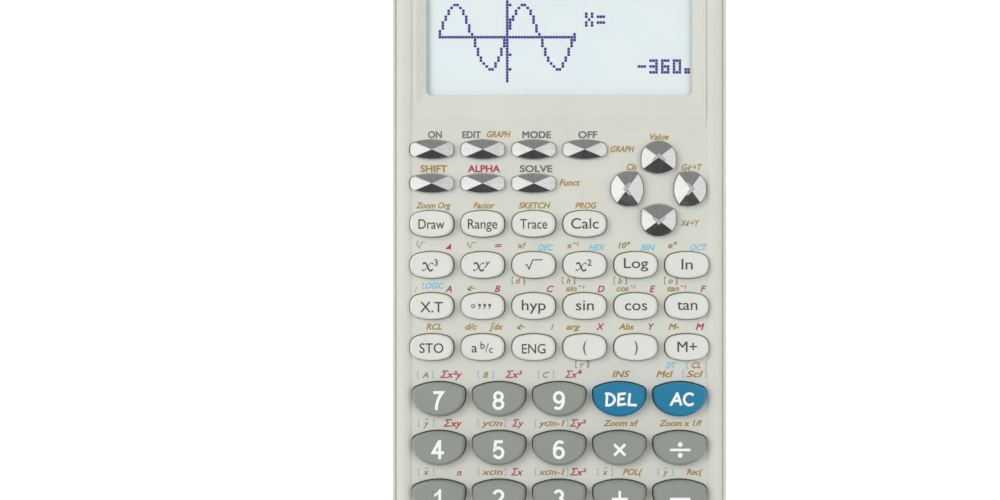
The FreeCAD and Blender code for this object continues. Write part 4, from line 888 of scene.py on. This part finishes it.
def graph_dots():
    """The lit dots as whole columns and rows counted from the graph's origin."""
    dots = set()
    for column in range(-AXIS_HALF_WIDTH, AXIS_HALF_WIDTH + 1):
        dots.add((column, 0))
    for row in range(-AXIS_HALF_HEIGHT, AXIS_HALF_HEIGHT + 1):
        dots.add((0, row))
    dots.update([(-AXIS_HALF_WIDTH, 1), (AXIS_HALF_WIDTH, 1), (AXIS_HALF_WIDTH, -1)])
    for row in (6, 11):
        dots.update([(1, row), (1, -row)])

    def wave(column):
        phase = math.tau * (column + AXIS_HALF_WIDTH) / WAVE_PERIOD
        return round(WAVE_HEIGHT * math.sin(phase))

    for column in range(-AXIS_HALF_WIDTH, AXIS_HALF_WIDTH):
        here = wave(column)
        following = wave(column + 1)
        dots.add((column, here))
        rise = 1 if following > here else -1
        for row in range(here + rise, following, rise):
            dots.add((column, row))
    words = [("-", 45, -8), ("3", 49, -8), ("6", 53, -8), ("0", 57, -8), ("X", 27, 8), ("=", 31, 8)]
    for glyph, left, top in words:
        for down, line in enumerate(GLYPHS[glyph]):
            for right, mark in enumerate(line):
                if mark == "#":
                    dots.add((left + right, top - down))
    dots.update([(61, -11), (62, -11), (61, -12), (62, -12)])
    return dots


def light_dots():
    """Each lit dot is a thin square tile just over the panel's face."""
    half = DOT_PITCH * DOT_SHARE / 2 * MM
    glass_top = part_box("lcd_panel")[1].z
    shape = bmesh.new()
    for column, row in sorted(graph_dots()):
        x = (GRAPH_ORIGIN[0] + column * DOT_PITCH) * MM
        y = (GRAPH_ORIGIN[1] + row * DOT_PITCH) * MM
        size = Matrix.Diagonal((2 * half, 2 * half, 0.02 * MM, 1))
        place = Matrix.Translation((x, y, glass_top))
        bmesh.ops.create_cube(shape, size=1, matrix=place @ size)
    piece("display_dots", shape, INKS["dots"], "case")


light_dots()


# --- floor, light and camera ----------------------------------------------------------------------

FLOOR_GLOW = 0.34
PANEL_HEIGHT = 13.6 * MM        # the panel's face, from which the camera's distance counts
CAMERA_DISTANCE = 450 * MM
VIEW_WIDTH = 251.5 * MM         # what the camera sees across the panel's face
CAMERA_SHIFT = (-0.0593, -0.016)
SENSOR = 36.0                   # width in mm, as Blender counts it
FLOOR_SIZE = 6
FLOOR_DROP = 0.2 * MM
SOFTBOX_SIDE = 0.6
CEILING_DARK = 0.07
CEILING_DIM = 0.30
WING_LEFT = 1.25
WING_RIGHT = 0.95
WALLS = 0.66


def make_floor():
    recipe = Recipe("studio_floor")
    soft = recipe.spread(recipe.noise(0.06, 3), 0.3, 0.7, 0.0, 1.0)
    recipe.finish({"Base Color": recipe.mix(soft, colour(250, 250, 249), colour(252, 252, 252)),
                   "Roughness": 0.85, "Specular IOR Level": 0.1,
                   "Emission Color": (1.0, 1.0, 1.0, 1.0), "Emission Strength": FLOOR_GLOW})
    bpy.ops.mesh.primitive_plane_add(size=FLOOR_SIZE, location=(0, 0, -FLOOR_DROP))
    floor = bpy.context.object
    floor.name = "studio_floor"
    floor.data.materials.append(recipe.material)


def add_softbox(name, place, watts):
    """A square lamp that points at the case and isn't seen in glossy faces."""
    lamp = bpy.data.lights.new(name, "AREA")
    lamp.shape = "RECTANGLE"
    lamp.size = SOFTBOX_SIDE
    lamp.size_y = SOFTBOX_SIDE
    lamp.energy = watts
    thing = bpy.data.objects.new(name, lamp)
    thing.location = place
    thing.rotation_euler = (-Vector(place)).to_track_quat("-Z", "Y").to_euler()
    thing.visible_glossy = False
    bpy.context.scene.collection.objects.link(thing)


def make_world():
    """A pale studio: bright wings to the left and right, dim towards +Y and dark towards -Y."""
    recipe = Recipe("studio", "World")
    parts = recipe.add("SeparateXYZ", {"Vector": recipe.place}).outputs
    lean = recipe.math("SUBTRACT", recipe.math("ABSOLUTE", parts["X"]),
                       recipe.math("ABSOLUTE", parts["Y"]))
    wing_share = recipe.spread(lean, -0.1, 0.13, 0.0, 1.0)
    wing = recipe.spread(parts["X"], -0.5, 0.5, WING_LEFT, WING_RIGHT)
    ends = recipe.spread(parts["Y"], -0.34, 0.34, CEILING_DARK, CEILING_DIM)
    ceiling = recipe.blend(wing_share, ends, wing)
    upward = recipe.spread(parts["Z"], 0.5, 0.72, 0.0, 1.0)
    strength = recipe.blend(upward, WALLS, ceiling)
    background = recipe.add("Background", {"Color": (1.0, 1.0, 0.995, 1.0), "Strength": strength})
    recipe.tree.links.new(background.outputs["Background"], recipe.output.inputs["Surface"])
    bpy.context.scene.world = recipe.material


def make_lights():
    add_softbox("softbox_left", (-0.6, 0.3, 0.9), 4.3)
    add_softbox("softbox_right", (0.5, 0.1, 1.0), 2.1)


def make_camera():
    data = bpy.data.cameras.new("camera")
    data.sensor_width = SENSOR
    data.lens = SENSOR * CAMERA_DISTANCE / VIEW_WIDTH
    data.shift_x, data.shift_y = CAMERA_SHIFT
    data.clip_start = 0.02
    data.clip_end = 20
    camera = bpy.data.objects.new("camera", data)
    camera.location = (0, 0, PANEL_HEIGHT + CAMERA_DISTANCE)
    bpy.context.scene.collection.objects.link(camera)
    bpy.context.scene.camera = camera


make_floor()
make_world()
make_lights()
make_camera()
bpy.context.scene.view_settings.view_transform = "Standard"
